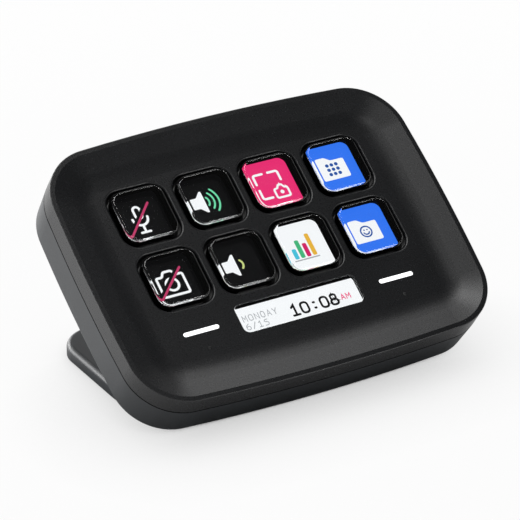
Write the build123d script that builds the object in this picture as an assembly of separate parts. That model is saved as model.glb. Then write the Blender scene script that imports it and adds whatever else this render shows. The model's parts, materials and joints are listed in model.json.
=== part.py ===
from build123d import *
import math
import os

# Angled desk keypad: eight clear push keys over a colour display, a narrow information
# display, two lit touch bars, and a fixed weighted stand. Units are millimetres.
#
# Two frames are used. The panel frame lies flat: X to the right, Y up the panel, Z out of
# the panel, with Z = 0 at the floor of the dished face. The desk frame has Z up from the
# desk. The panel frame is tipped back into the desk frame only at the end.

# ---------------------------------------------------------------- body outline
BODY_WIDTH = 107.2
BODY_HEIGHT = 78.5
CORNER_RADIUS = 15.0
SIDE_BOW_RISE = 0.588            # left and right edges bulge between the corners
END_BOW_RISE = 1.107             # top and bottom edges do the same

# ---------------------------------------------------------------- attitude on the desk
PANEL_TILT = 35.0                # degrees back from horizontal
PANEL_SETBACK = 7.5              # face centre lies this far in front of the foot's centre
DESK_CLEARANCE = 0.283           # lowest corner of the body above the desk, before its rounding

# ---------------------------------------------------------------- front shell
RIM_RISE = 2.2                   # rim above the floor of the dish
RIM_WIDTH = 1.4
RIM_EDGE_RADIUS = 0.25
DISH_SLOPE = 15.5                # degrees
DISH_BLEND_RADIUS = 20.0         # slope runs into the floor
FACE_THICKNESS = 1.8
SHELL_WALL = 2.0
RIM_RELIEF_DEPTH = 0.8           # the thick skin under the rim is cored out from below
RIM_RELIEF_WIDTH = 6.5
SEAM_DEPTH = 3.85                # parting line below the floor of the dish
SEAM_GAP = 0.2

# ---------------------------------------------------------------- rear shell
BACK_DEPTH = 14.5                # back face below the floor of the dish
BACK_SIDE_TAPER = 0.25           # left and right walls draw in towards the back
BACK_END_TAPER = 0.65            # top and bottom walls draw in more
BACK_EDGE_RADIUS = 1.0
BACK_THICKNESS = 2.0
LIP_HEIGHT = 1.4                 # tongue of the rear shell inside the front shell
LIP_THICKNESS = 1.0
LIP_CLEARANCE = 0.1

# ---------------------------------------------------------------- keys
KEY_COLUMNS = 4
KEY_ROWS = 2
KEY_SIDE_MARGIN = 15.82          # body's side to the nearest key opening
KEY_TOP_MARGIN = 13.94           # body's top to the upper key openings
KEY_LOWER_MARGIN = 27.82         # body's bottom to the lower key openings
KEY_BRIDGE = 2.52                # face left between two key openings of a row
KEY_ROW_BRIDGE = 2.74            # face left between the two rows of openings
KEY_OPENING_RADIUS = 4.1
KEY_EDGE_ROUND = 0.65            # soft edge of each opening
KEY_GAP = 0.75                   # clear cap to opening, all round
KEY_PROUD = 1.2
KEY_TOP_ROUND = 1.0
KEY_TRAVEL = 1.2
FLANGE_OVERLAP = 0.35            # flange reaches under the face
FLANGE_THICKNESS = 0.8
FLANGE_CLEARANCE = 0.1
LIGHT_BLOCK_SIDE_STEP = 0.35     # lower part of a clear cap is narrower at each side
LIGHT_BLOCK_END_STEP = 0.2       # and shorter at each end
LIGHT_BLOCK_DEPTH = 0.7
LIGHT_BLOCK_RADIUS = 2.4
LIGHT_BLOCK_SHIFT = 0.37         # picture sits a little above the key's middle
RING_THICKNESS = 0.2
RING_CLEARANCE = 0.1
STOP_CLEARANCE = 0.05            # left under a fully pressed key

# ---------------------------------------------------------------- silicone mat and contact sheet
MAT_THICKNESS = 0.3
MAT_WINDOW_CLEARANCE = 0.3
MAT_BORDER = 1.2
MAT_TOP_CLEARANCE = 0.05
RIB_CLEARANCE = 0.35             # mat rib to key flange
CONTACT_SHEET_THICKNESS = 0.2

# ---------------------------------------------------------------- key display
DISPLAY_MARGIN = 0.5             # display is smaller than the mat on each side
DISPLAY_GLASS_THICKNESS = 1.2
BACKLIGHT_THICKNESS = 1.2
BACKLIGHT_MARGIN = 0.6

# ---------------------------------------------------------------- information display
INFO_SIDE_STEP = 0.16            # opening ends this far inside the two middle keys' openings
INFO_TOP_ROOM = 3.0              # face left between this opening and the keys' openings
INFO_LOWER_ROOM = 16.33          # body's bottom to this opening
INFO_RADIUS = 1.7
INFO_RECESS = 0.3
INFO_GAP = 0.1
INFO_EDGE_ROUND = 0.25           # soft edge of the clear window
INFO_FLANGE = 0.8
INFO_FLANGE_THICKNESS = 0.7
INFO_DISPLAY_MARGIN = 0.75
INFO_DISPLAY_THICKNESS = 1.6
SEAT_GAP = 0.05                  # adhesive line between stacked flat pieces

# ---------------------------------------------------------------- touch bars
TOUCH_DROP = 0.18                # bars lie a little below the middle of the narrow display
TOUCH_END_ROOM = 3.0             # touch board reaches past its bar at each end
TOUCH_BAR_HEIGHT = 1.25
TOUCH_GAP = 0.05
TOUCH_FLANGE = 0.6
TOUCH_FLANGE_THICKNESS = 0.6
TOUCH_BOARD_STEP = 0.3           # touch board is shorter than a key opening at each end
TOUCH_BOARD_HEIGHT = 6.0
TOUCH_BOARD_THICKNESS = 0.8
TOUCH_POST_INSET = 1.3
TOUCH_POST_RADIUS = 0.8
TOUCH_POST_CLEARANCE = 0.05
TOUCH_POST_TAIL = 0.5
LED_COUNT = 3
LED_END_ROOM = 1.8               # bar's end to the middle of its last light
LED_LENGTH = 1.6
LED_HEIGHT = 0.8
LED_THICKNESS = 0.5
DIMPLE_DROP = 5.2                # small locating dimple under each touch bar
DIMPLE_RADIUS = 0.5
DIMPLE_DEPTH = 0.3

# ---------------------------------------------------------------- screws
SHANK_RADIUS = 1.0
HEAD_RADIUS = 1.9
HEAD_HEIGHT = 1.3
DRIVE_RADIUS = 0.75
DRIVE_DEPTH = 0.8
THREAD_CLEARANCE = 0.05
HOLE_CLEARANCE = 0.15
HEAD_CLEARANCE = 0.3
BOSS_WALL = 1.6
TIP_ROOM = 0.6                   # free depth past a screw's tip

CASE_SCREW_SIDE = 9.4           # screw to the body's side
CASE_SCREW_END = 9.85            # screw to the body's top or bottom
CASE_SCREW_LENGTH = 8.4
CASE_HEAD_SINK = 1.8             # screw heads lie in deep counterbores in the back
CASE_BOSS_MEET = 7.0             # depth at which front and rear bosses meet

# ---------------------------------------------------------------- inner frame
FRAME_THICKNESS = 1.3
FRAME_SIDE_MARGIN = 1.22         # beyond the silicone mat
FRAME_TOP_MARGIN = 0.4
FRAME_LOWER_MARGIN = 3.13        # beyond the narrow display
FRAME_CORNER = 2.0
FRAME_EAR_SIDE = 9.1            # ear's screw to the body's side
FRAME_EAR_Y = 14.0
FRAME_EAR_RADIUS = 3.2
FRAME_SCREW_LENGTH = 4.6
FRAME_SLOT_MARGIN = 1.0          # slot behind each touch board, beyond the ribbon

# ---------------------------------------------------------------- main board
BOARD_SIDE_ROOM = 19.6          # board to the body's side
BOARD_TOP_ROOM = 4.85            # board to the body's top
BOARD_RIBBON_ROOM = 4.52         # board to the touch ribbons' drop
BOARD_THICKNESS = 1.2
BOARD_CORNER = 2.0
BOARD_STANDOFF = 1.3
BOARD_HOLE_INSET = 3.5
BOARD_LOWER_HOLE_RISE = 11.0     # lower screws stand clear of the ribbon sockets
BOARD_SCREW_LENGTH = 3.2
CONTROLLER_SIZE = 9.0
CONTROLLER_HEIGHT = 0.9
MEMORY_WIDTH = 8.0
MEMORY_HEIGHT = 6.0
MEMORY_THICKNESS = 0.8
SOCKET_DEPTH = 4.0               # ribbon sockets, along the panel
SOCKET_HEIGHT = 1.0
SOCKET_SIDE_WALL = 1.0
PASSIVE_LENGTH = 1.6
PASSIVE_WIDTH = 0.8
PASSIVE_PITCH = 2.4
PASSIVE_COUNT = 5

# ---------------------------------------------------------------- ribbons
RIBBON_THICKNESS = 0.15
RIBBON_BEND = 0.6
LCD_RIBBON_WIDTH = 14.0
INFO_RIBBON_WIDTH = 8.0
TOUCH_RIBBON_WIDTH = 4.0
RIBBON_STANDOFF = 1.2            # a ribbon passes an edge at this distance

# ---------------------------------------------------------------- power and data socket
USB_WIDTH = 8.94
USB_HEIGHT = 3.26
USB_LENGTH = 7.35
USB_WALL = 0.3
USB_MOUTH_SINK = 0.7             # mouth below the outer face of the top wall
USB_HOLE_CLEARANCE = 0.2
USB_TONGUE_WIDTH = 6.69
USB_TONGUE_THICKNESS = 0.7
USB_TONGUE_SINK = 0.9
USB_BASE_DEPTH = 2.2
USB_RECESS_WIDTH = 13.0
USB_RECESS_HEIGHT = 6.6
USB_RECESS_DEPTH = 0.5

# ---------------------------------------------------------------- stand, in the desk frame
FOOT_WIDTH = 91.8
FOOT_DEPTH = 54.4
FOOT_TOP = 4.2
FOOT_SKIRT = 0.6                 # lower edge of the stand shell above the desk
FOOT_REAR_RADIUS = 10.0
FOOT_FRONT_RADIUS = 22.0
FOOT_EDGE_RADIUS = 1.5
FOOT_WALL = 2.0
FOOT_SKIN = 1.2
NECK_WIDTH = 64.0
NECK_BLEND = 6.0
NECK_WALL = 2.5
STAND_SCREW_X = (8.0, 20.0)
STAND_SCREW_DROP = 11.46         # down the panel from the centre of the neck's round
STAND_SCREW_LENGTH = 7.0
BALLAST_THICKNESS = 1.9
BALLAST_CLEARANCE = 0.1
BALLAST_SCREW_X = 27.0
BALLAST_SCREW_DROP = 10.32       # forward of the centre of the neck's round
BALLAST_SCREW_LENGTH = 4.0
BALLAST_HEAD_CLEARANCE = 0.1
PAD_THICKNESS = 1.0
PAD_INSET = 3.0

# ---------------------------------------------------------------- levels in the panel frame
FACE_UNDER = -FACE_THICKNESS
SEAM_Z = -SEAM_DEPTH
BACK_Z = -BACK_DEPTH
BACK_FLOOR_Z = BACK_Z + BACK_THICKNESS
FLANGE_TOP = FACE_UNDER - FLANGE_CLEARANCE
FLANGE_BOTTOM = FLANGE_TOP - FLANGE_THICKNESS
MAT_TOP = FLANGE_BOTTOM - RING_THICKNESS - KEY_TRAVEL - STOP_CLEARANCE
MAT_BOTTOM = MAT_TOP - MAT_THICKNESS
GLASS_TOP = MAT_BOTTOM - CONTACT_SHEET_THICKNESS
GLASS_BOTTOM = GLASS_TOP - DISPLAY_GLASS_THICKNESS
FRAME_TOP = GLASS_BOTTOM - BACKLIGHT_THICKNESS
FRAME_BOTTOM = FRAME_TOP - FRAME_THICKNESS
INFO_FLANGE_BOTTOM = FACE_UNDER - SEAT_GAP - INFO_FLANGE_THICKNESS
INFO_DISPLAY_TOP = INFO_FLANGE_BOTTOM - SEAT_GAP
INFO_DISPLAY_BOTTOM = INFO_DISPLAY_TOP - INFO_DISPLAY_THICKNESS
TOUCH_FLANGE_BOTTOM = FACE_UNDER - SEAT_GAP - TOUCH_FLANGE_THICKNESS
TOUCH_BOARD_TOP = TOUCH_FLANGE_BOTTOM - LED_THICKNESS
TOUCH_BOARD_BOTTOM = TOUCH_BOARD_TOP - TOUCH_BOARD_THICKNESS
BOARD_BOTTOM = BACK_FLOOR_Z + BOARD_STANDOFF
BOARD_TOP = BOARD_BOTTOM + BOARD_THICKNESS
RIBBON_Z = BOARD_TOP + SOCKET_HEIGHT / 2
USB_Z = BOARD_TOP + USB_HEIGHT / 2

# ---------------------------------------------------------------- plan sizes that follow
TILT = math.radians(PANEL_TILT)
LOWEST_CORNER_Y = BODY_HEIGHT / 2 - BACK_END_TAPER
PANEL_RAISE = DESK_CLEARANCE + LOWEST_CORNER_Y * math.sin(TILT) + BACK_DEPTH * math.cos(TILT)
KEY_PITCH_X = (BODY_WIDTH - 2 * KEY_SIDE_MARGIN + KEY_BRIDGE) / KEY_COLUMNS
KEY_PITCH_Y = (BODY_HEIGHT - KEY_TOP_MARGIN - KEY_LOWER_MARGIN + KEY_ROW_BRIDGE) / KEY_ROWS
KEY_FIELD_Y = (KEY_LOWER_MARGIN - KEY_TOP_MARGIN) / 2
OPENING_WIDTH = KEY_PITCH_X - KEY_BRIDGE
OPENING_HEIGHT = KEY_PITCH_Y - KEY_ROW_BRIDGE
CAP_WIDTH = OPENING_WIDTH - 2 * KEY_GAP
CAP_HEIGHT = OPENING_HEIGHT - 2 * KEY_GAP
CAP_RADIUS = KEY_OPENING_RADIUS - KEY_GAP
LIGHT_BLOCK_WIDTH = CAP_WIDTH - 2 * LIGHT_BLOCK_SIDE_STEP
LIGHT_BLOCK_HEIGHT = CAP_HEIGHT - 2 * LIGHT_BLOCK_END_STEP
FLANGE_WIDTH = OPENING_WIDTH + 2 * FLANGE_OVERLAP
FLANGE_HEIGHT = OPENING_HEIGHT + 2 * FLANGE_OVERLAP
FLANGE_RADIUS = KEY_OPENING_RADIUS - FLANGE_OVERLAP
RIB_OPENING_WIDTH = FLANGE_WIDTH + 2 * RIB_CLEARANCE
RIB_OPENING_HEIGHT = FLANGE_HEIGHT + 2 * RIB_CLEARANCE
MAT_WIDTH = (KEY_COLUMNS - 1) * KEY_PITCH_X + RIB_OPENING_WIDTH + 2 * MAT_BORDER
MAT_HEIGHT = (KEY_ROWS - 1) * KEY_PITCH_Y + RIB_OPENING_HEIGHT + 2 * MAT_BORDER
GLASS_WIDTH = MAT_WIDTH - 2 * DISPLAY_MARGIN
GLASS_HEIGHT = MAT_HEIGHT - 2 * DISPLAY_MARGIN
KEY_CENTRES = [
    ((column - (KEY_COLUMNS - 1) / 2) * KEY_PITCH_X,
     KEY_FIELD_Y + ((KEY_ROWS - 1) / 2 - row) * KEY_PITCH_Y)
    for row in range(KEY_ROWS)
    for column in range(KEY_COLUMNS)
]
INFO_WIDTH = KEY_PITCH_X + OPENING_WIDTH - 2 * INFO_SIDE_STEP
INFO_HEIGHT = KEY_LOWER_MARGIN - INFO_TOP_ROOM - INFO_LOWER_ROOM
INFO_Y = INFO_LOWER_ROOM + INFO_HEIGHT / 2 - BODY_HEIGHT / 2
INFO_DISPLAY_WIDTH = INFO_WIDTH + 2 * (INFO_FLANGE + INFO_DISPLAY_MARGIN)
INFO_DISPLAY_HEIGHT = INFO_HEIGHT + 2 * INFO_DISPLAY_MARGIN
TOUCH_X = KEY_CENTRES[-1][0]
TOUCH_Y = INFO_Y - TOUCH_DROP
TOUCH_BOARD_LENGTH = OPENING_WIDTH - 2 * TOUCH_BOARD_STEP
TOUCH_LENGTH = TOUCH_BOARD_LENGTH - 2 * TOUCH_END_ROOM
TOUCH_POST_X = TOUCH_BOARD_LENGTH / 2 - TOUCH_POST_INSET
TOUCH_DROP_Y = KEY_FIELD_Y - MAT_HEIGHT / 2 - RIBBON_STANDOFF    # touch ribbons turn down here
LED_PITCH = (TOUCH_LENGTH - 2 * LED_END_ROOM) / (LED_COUNT - 1)
CASE_SCREW_X = BODY_WIDTH / 2 - CASE_SCREW_SIDE
CASE_SCREW_Y = BODY_HEIGHT / 2 - CASE_SCREW_END
FRAME_WIDTH = MAT_WIDTH + 2 * FRAME_SIDE_MARGIN
FRAME_TOP_Y = KEY_FIELD_Y + MAT_HEIGHT / 2 + FRAME_TOP_MARGIN
FRAME_BOTTOM_Y = INFO_Y - INFO_DISPLAY_HEIGHT / 2 - FRAME_LOWER_MARGIN
FRAME_EAR_X = BODY_WIDTH / 2 - FRAME_EAR_SIDE
BOARD_WIDTH = BODY_WIDTH - 2 * BOARD_SIDE_ROOM
BOARD_TOP_Y = BODY_HEIGHT / 2 - BOARD_TOP_ROOM
BOARD_BOTTOM_Y = TOUCH_DROP_Y + BOARD_RIBBON_ROOM
LOWER_SOCKET_Y = BOARD_BOTTOM_Y + SOCKET_SIDE_WALL               # lower edge of the lower sockets
UPPER_SOCKET_Y = FRAME_TOP_Y - RIBBON_STANDOFF                   # upper edge of the upper socket
BALLAST_TOP = PAD_THICKNESS + BALLAST_THICKNESS
THREAD_RADIUS = SHANK_RADIUS + THREAD_CLEARANCE
HOLE_RADIUS = SHANK_RADIUS + HOLE_CLEARANCE
BOSS_RADIUS = THREAD_RADIUS + BOSS_WALL


# ================================================================ helpers
def bowed_outline(inset=0.0, side_taper=0.0, end_taper=0.0):
    """Body outline moved inwards: eight arcs, four bowed edges and four tangent corners."""
    half_w = BODY_WIDTH / 2 - inset - side_taper
    half_h = BODY_HEIGHT / 2 - inset - end_taper
    radius = CORNER_RADIUS - inset - min(side_taper, end_taper)
    side_bow = bow_radius(BODY_HEIGHT, SIDE_BOW_RISE) - inset
    end_bow = bow_radius(BODY_WIDTH, END_BOW_RISE) - inset
    corner_x = half_w - radius
    corner_y = half_h - radius
    for _ in range(20):
        corner_x = half_w - side_bow + math.sqrt((side_bow - radius) ** 2 - corner_y ** 2)
        corner_y = half_h - end_bow + math.sqrt((end_bow - radius) ** 2 - corner_x ** 2)
    corner = Vector(corner_x, corner_y)
    to_side = (corner - Vector(half_w - side_bow, 0)).normalized()
    to_end = (corner - Vector(0, half_h - end_bow)).normalized()
    side_point = corner + to_side * radius
    end_point = corner + to_end * radius
    middle = corner + (to_side + to_end).normalized() * radius

    def corner_arc(sx, sy):
        return ThreePointArc(
            (sx * side_point.X, sy * side_point.Y),
            (sx * middle.X, sy * middle.Y),
            (sx * end_point.X, sy * end_point.Y),
        )

    def side_arc(sx):
        return ThreePointArc(
            (sx * side_point.X, -side_point.Y), (sx * half_w, 0), (sx * side_point.X, side_point.Y)
        )

    def end_arc(sy):
        return ThreePointArc(
            (end_point.X, sy * end_point.Y), (0, sy * half_h), (-end_point.X, sy * end_point.Y)
        )

    arcs = [side_arc(1), corner_arc(1, 1), end_arc(1), corner_arc(-1, 1)]
    arcs += [side_arc(-1), corner_arc(-1, -1), end_arc(-1), corner_arc(1, -1)]
    return make_face(Wire(arcs))


def bow_radius(edge_length, rise):
    """Radius of an edge that bulges by the rise between its two corners."""
    half_chord = edge_length / 2 - CORNER_RADIUS
    return half_chord ** 2 / (2 * rise) + rise / 2


def slab(sketch, low, high):
    """A flat sketch raised from one level to another."""
    return extrude(Pos(0, 0, low) * sketch, high - low, dir=(0, 0, 1))


def rounded(width, height, radius):
    return RectangleRounded(width, height, radius)


def rod(radius, low, high):
    return slab(Circle(radius), low, high)


def at_each(places, shape):
    return [Pos(x, y, 0) * shape for x, y in places]


def screw(length):
    """Screw with its head's underside at Z = 0, the shank pointing down."""
    body = rod(SHANK_RADIUS, -length, 0) + rod(HEAD_RADIUS, 0, HEAD_HEIGHT)
    drive = RegularPolygon(DRIVE_RADIUS, 6)
    return body - slab(drive, HEAD_HEIGHT - DRIVE_DEPTH, HEAD_HEIGHT)


def ribbon(path_points, width, x):
    """Flat flexible cable along a path of (Y, Z) points, centred across at x."""
    corners = [Vector(x, y, z) for y, z in path_points]
    path = FilletPolyline(*corners, radius=RIBBON_BEND) if len(corners) > 2 else Line(*corners)
    start = Plane(origin=corners[0], x_dir=(1, 0, 0), z_dir=corners[1] - corners[0])
    return sweep(start * Rectangle(width, RIBBON_THICKNESS), path=path)


def to_desk(shape):
    """Tips a piece from the panel frame back into the desk frame."""
    return Pos(0, -PANEL_SETBACK, PANEL_RAISE) * (Rot(PANEL_TILT, 0, 0) * shape)


def desk_point(panel_y, panel_z):
    """Desk-frame (Y, Z) of a panel-frame point on the middle plane."""
    y = -PANEL_SETBACK + panel_y * math.cos(TILT) - panel_z * math.sin(TILT)
    z = PANEL_RAISE + panel_y * math.sin(TILT) + panel_z * math.cos(TILT)
    return y, z


def panel_y_at(desk_z, panel_z):
    """Panel-frame Y of the point at a height above the desk and a level in the panel."""
    return (desk_z - PANEL_RAISE - panel_z * math.cos(TILT)) / math.sin(TILT)


CASE_SCREW_PLACES = [(sx * CASE_SCREW_X, sy * CASE_SCREW_Y) for sx in (-1, 1) for sy in (-1, 1)]
FRAME_SCREW_PLACES = [(sx * FRAME_EAR_X, sy * FRAME_EAR_Y) for sx in (-1, 1) for sy in (-1, 1)]
BOARD_SCREW_PLACES = [
    (sx * (BOARD_WIDTH / 2 - BOARD_HOLE_INSET), y)
    for sx in (-1, 1)
    for y in (BOARD_BOTTOM_Y + BOARD_LOWER_HOLE_RISE, BOARD_TOP_Y - BOARD_HOLE_INSET)
]
NECK_ROUND_Z = FOOT_TOP + NECK_BLEND                              # centre of the neck's round
NECK_ROUND_PANEL_Y = panel_y_at(NECK_ROUND_Z, BACK_Z - NECK_BLEND)
NECK_ROUND_Y, _ = desk_point(NECK_ROUND_PANEL_Y, BACK_Z - NECK_BLEND)
STAND_SCREW_PLACES = [
    (sx * x, NECK_ROUND_PANEL_Y - STAND_SCREW_DROP) for sx in (-1, 1) for x in STAND_SCREW_X
]
BALLAST_SCREW_PLACES = [(sx * BALLAST_SCREW_X, NECK_ROUND_Y - BALLAST_SCREW_DROP) for sx in (-1, 1)]
TOUCH_PLACES = {"left": (-TOUCH_X, TOUCH_Y), "right": (TOUCH_X, TOUCH_Y)}
TOUCH_POST_PLACES = [
    (x + sx * TOUCH_POST_X, y) for x, y in TOUCH_PLACES.values() for sx in (-1, 1)
]


# ================================================================ shells
def dish_cutter():
    """Everything above the dished face: a shallow cone that blends into the flat floor."""
    slope_run = RIM_RISE / math.tan(math.radians(DISH_SLOPE))
    top = Pos(0, 0, RIM_RISE) * bowed_outline(RIM_WIDTH)
    floor = bowed_outline(RIM_WIDTH + slope_run)
    cone = loft([floor, top], ruled=True)
    floor_edges = cone.edges().filter_by_position(Axis.Z, -0.01, 0.01)
    cone = fillet(floor_edges, DISH_BLEND_RADIUS)
    return cone + slab(bowed_outline(RIM_WIDTH), RIM_RISE, RIM_RISE + 1)


def front_shell():
    bottom = SEAM_Z + SEAM_GAP / 2
    shell = slab(bowed_outline(), bottom, RIM_RISE)
    shell = fillet(shell.edges().group_by(Axis.Z)[-1], RIM_EDGE_RADIUS)
    shell -= dish_cutter()
    shell -= slab(bowed_outline(SHELL_WALL), bottom, FACE_UNDER)
    relief = bowed_outline(SHELL_WALL) - bowed_outline(SHELL_WALL + RIM_RELIEF_WIDTH)
    shell -= slab(relief, FACE_UNDER, FACE_UNDER + RIM_RELIEF_DEPTH)
    # bosses for the case screws and for the inner frame
    shell += at_each(CASE_SCREW_PLACES, rod(BOSS_RADIUS, -CASE_BOSS_MEET, FACE_UNDER / 2))
    shell += at_each(FRAME_SCREW_PLACES, rod(BOSS_RADIUS, FRAME_TOP, FACE_UNDER / 2))
    case_tip = BACK_Z + CASE_HEAD_SINK + CASE_SCREW_LENGTH + TIP_ROOM
    frame_tip = FRAME_BOTTOM + FRAME_SCREW_LENGTH + TIP_ROOM
    shell -= at_each(CASE_SCREW_PLACES, rod(THREAD_RADIUS, -CASE_BOSS_MEET, case_tip))
    shell -= at_each(FRAME_SCREW_PLACES, rod(THREAD_RADIUS, FRAME_TOP, frame_tip))
    # posts that carry the touch boards
    post_end = TOUCH_BOARD_BOTTOM - TOUCH_POST_TAIL
    shell += at_each(TOUCH_POST_PLACES, rod(TOUCH_POST_RADIUS, post_end, FACE_UNDER / 2))
    # openings
    key_hole = slab(rounded(OPENING_WIDTH, OPENING_HEIGHT, KEY_OPENING_RADIUS), FACE_UNDER, 0)
    shell -= at_each(KEY_CENTRES, key_hole)
    shell -= Pos(0, INFO_Y, 0) * slab(rounded(INFO_WIDTH, INFO_HEIGHT, INFO_RADIUS), FACE_UNDER, 0)
    bar_hole = slab(SlotOverall(TOUCH_LENGTH, TOUCH_BAR_HEIGHT), FACE_UNDER, 0)
    shell -= at_each(TOUCH_PLACES.values(), bar_hole)
    soft_edges = []
    for edge in shell.edges().filter_by_position(Axis.Z, -0.001, 0.001):
        centre = edge.center()
        for x, y in KEY_CENTRES:
            beside = abs(centre.X - x) < OPENING_WIDTH / 2 + KEY_BRIDGE / 2
            if beside and abs(centre.Y - y) < OPENING_HEIGHT / 2 + KEY_BRIDGE / 2:
                soft_edges.append(edge)
    shell = fillet(soft_edges, KEY_EDGE_ROUND)
    dimple = Sphere((DIMPLE_RADIUS ** 2 + DIMPLE_DEPTH ** 2) / (2 * DIMPLE_DEPTH))
    dimple_lift = (DIMPLE_RADIUS ** 2 - DIMPLE_DEPTH ** 2) / (2 * DIMPLE_DEPTH)
    for x, _ in TOUCH_PLACES.values():
        shell -= Pos(x, TOUCH_Y - DIMPLE_DROP, dimple_lift) * dimple
    return shell


def rear_shell():
    top = SEAM_Z - SEAM_GAP / 2
    outer = loft(
        [
            Pos(0, 0, BACK_Z) * bowed_outline(0, BACK_SIDE_TAPER, BACK_END_TAPER),
            Pos(0, 0, top) * bowed_outline(),
        ],
        ruled=True,
    )
    shell = fillet(outer.edges().group_by(Axis.Z)[0], BACK_EDGE_RADIUS)
    inner_inset = SHELL_WALL + max(BACK_SIDE_TAPER, BACK_END_TAPER)
    shell -= slab(bowed_outline(inner_inset), BACK_FLOOR_Z, top)
    lip_outer = bowed_outline(SHELL_WALL + LIP_CLEARANCE)
    lip_inner = bowed_outline(SHELL_WALL + LIP_CLEARANCE + LIP_THICKNESS)
    lip_foot = bowed_outline(SHELL_WALL / 2) - lip_inner
    shell += slab(lip_outer - lip_inner, top - LIP_HEIGHT, top + LIP_HEIGHT + SEAM_GAP)
    shell += slab(lip_foot, top - LIP_HEIGHT, top)
    # corner bosses with counterbores for the case screws
    shell += at_each(CASE_SCREW_PLACES, rod(BOSS_RADIUS, BACK_Z + BACK_THICKNESS / 2,
                                            -CASE_BOSS_MEET - SEAT_GAP))
    shell -= at_each(CASE_SCREW_PLACES, rod(HOLE_RADIUS, BACK_Z, -CASE_BOSS_MEET))
    shell -= at_each(CASE_SCREW_PLACES, rod(HEAD_RADIUS + HEAD_CLEARANCE, BACK_Z,
                                            BACK_Z + CASE_HEAD_SINK))
    # standoffs for the main board
    shell += at_each(BOARD_SCREW_PLACES, rod(BOSS_RADIUS, BACK_FLOOR_Z - BACK_THICKNESS / 2,
                                             BOARD_BOTTOM))
    board_tip = BOARD_TOP - BOARD_SCREW_LENGTH
    shell -= at_each(BOARD_SCREW_PLACES, rod(THREAD_RADIUS, board_tip, BOARD_BOTTOM))
    # closed bosses for the stand's screws
    stand_tip = BACK_Z - NECK_WALL + STAND_SCREW_LENGTH
    shell += at_each(STAND_SCREW_PLACES, rod(BOSS_RADIUS, BACK_FLOOR_Z - BACK_THICKNESS / 2,
                                             stand_tip + 2 * TIP_ROOM))
    shell -= at_each(STAND_SCREW_PLACES, rod(THREAD_RADIUS, BACK_Z, stand_tip + TIP_ROOM))
    # mouth of the power and data socket, in the top wall
    wall = BODY_HEIGHT / 2
    shell -= socket_hole(USB_WIDTH + 2 * USB_HOLE_CLEARANCE, USB_HEIGHT + 2 * USB_HOLE_CLEARANCE,
                         wall - 2 * SHELL_WALL, wall + 1)
    shell -= socket_hole(USB_RECESS_WIDTH, USB_RECESS_HEIGHT, wall - USB_RECESS_DEPTH, wall + 1)
    return shell


def socket_hole(width, height, y_low, y_high):
    """Oblong bar along Y, on the axis of the power and data socket."""
    start = Plane(origin=(0, y_low, USB_Z), x_dir=(1, 0, 0), z_dir=(0, 1, 0))
    return extrude(start * SlotOverall(width, height), y_high - y_low)


# ================================================================ keys
def key_cap():
    """Clear cap: rounded block, retaining flange and a lower block that nears the display."""
    cap = slab(rounded(CAP_WIDTH, CAP_HEIGHT, CAP_RADIUS), FLANGE_BOTTOM, KEY_PROUD)
    cap = fillet(cap.edges().group_by(Axis.Z)[-1], KEY_TOP_ROUND)
    cap += slab(rounded(FLANGE_WIDTH, FLANGE_HEIGHT, FLANGE_RADIUS), FLANGE_BOTTOM, FLANGE_TOP)
    block = rounded(LIGHT_BLOCK_WIDTH, LIGHT_BLOCK_HEIGHT, LIGHT_BLOCK_RADIUS)
    block = Pos(0, LIGHT_BLOCK_SHIFT, 0) * block
    return cap + slab(block, FLANGE_BOTTOM - LIGHT_BLOCK_DEPTH, FLANGE_BOTTOM)


def key_contact_ring():
    """Thin black ring under the flange; it carries the contact and masks the rim."""
    ring = rounded(FLANGE_WIDTH, FLANGE_HEIGHT, FLANGE_RADIUS) - picture_window(RING_CLEARANCE)
    return slab(ring, FLANGE_BOTTOM - RING_THICKNESS, FLANGE_BOTTOM)


def picture_window(clearance):
    """Window round a cap's lower block."""
    window = rounded(
        LIGHT_BLOCK_WIDTH + 2 * clearance,
        LIGHT_BLOCK_HEIGHT + 2 * clearance,
        LIGHT_BLOCK_RADIUS + clearance,
    )
    return Pos(0, LIGHT_BLOCK_SHIFT, 0) * window


def key_mat():
    """Silicone mat: thin web with a window at each key and ribs between the flanges."""
    field = Pos(0, KEY_FIELD_Y, 0) * Rectangle(MAT_WIDTH, MAT_HEIGHT)
    mat = slab(field, MAT_BOTTOM, FACE_UNDER - MAT_TOP_CLEARANCE)
    rib_opening = rounded(RIB_OPENING_WIDTH, RIB_OPENING_HEIGHT, FLANGE_RADIUS)
    mat -= at_each(KEY_CENTRES, slab(rib_opening, MAT_TOP, 0))
    window = slab(picture_window(MAT_WINDOW_CLEARANCE), MAT_BOTTOM, MAT_TOP)
    return mat - at_each(KEY_CENTRES, window)


def contact_sheet():
    """Flexible circuit under the mat, with the same windows."""
    sheet = slab(Pos(0, KEY_FIELD_Y, 0) * Rectangle(MAT_WIDTH, MAT_HEIGHT), GLASS_TOP, MAT_BOTTOM)
    window = slab(picture_window(MAT_WINDOW_CLEARANCE), GLASS_TOP, MAT_BOTTOM)
    return sheet - at_each(KEY_CENTRES, window)


# ================================================================ displays
def display_glass():
    return slab(Pos(0, KEY_FIELD_Y, 0) * Rectangle(GLASS_WIDTH, GLASS_HEIGHT), GLASS_BOTTOM, GLASS_TOP)


def display_backlight():
    plate = Rectangle(GLASS_WIDTH - 2 * BACKLIGHT_MARGIN, GLASS_HEIGHT - 2 * BACKLIGHT_MARGIN)
    return slab(Pos(0, KEY_FIELD_Y, 0) * plate, FRAME_TOP, GLASS_BOTTOM)


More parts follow.
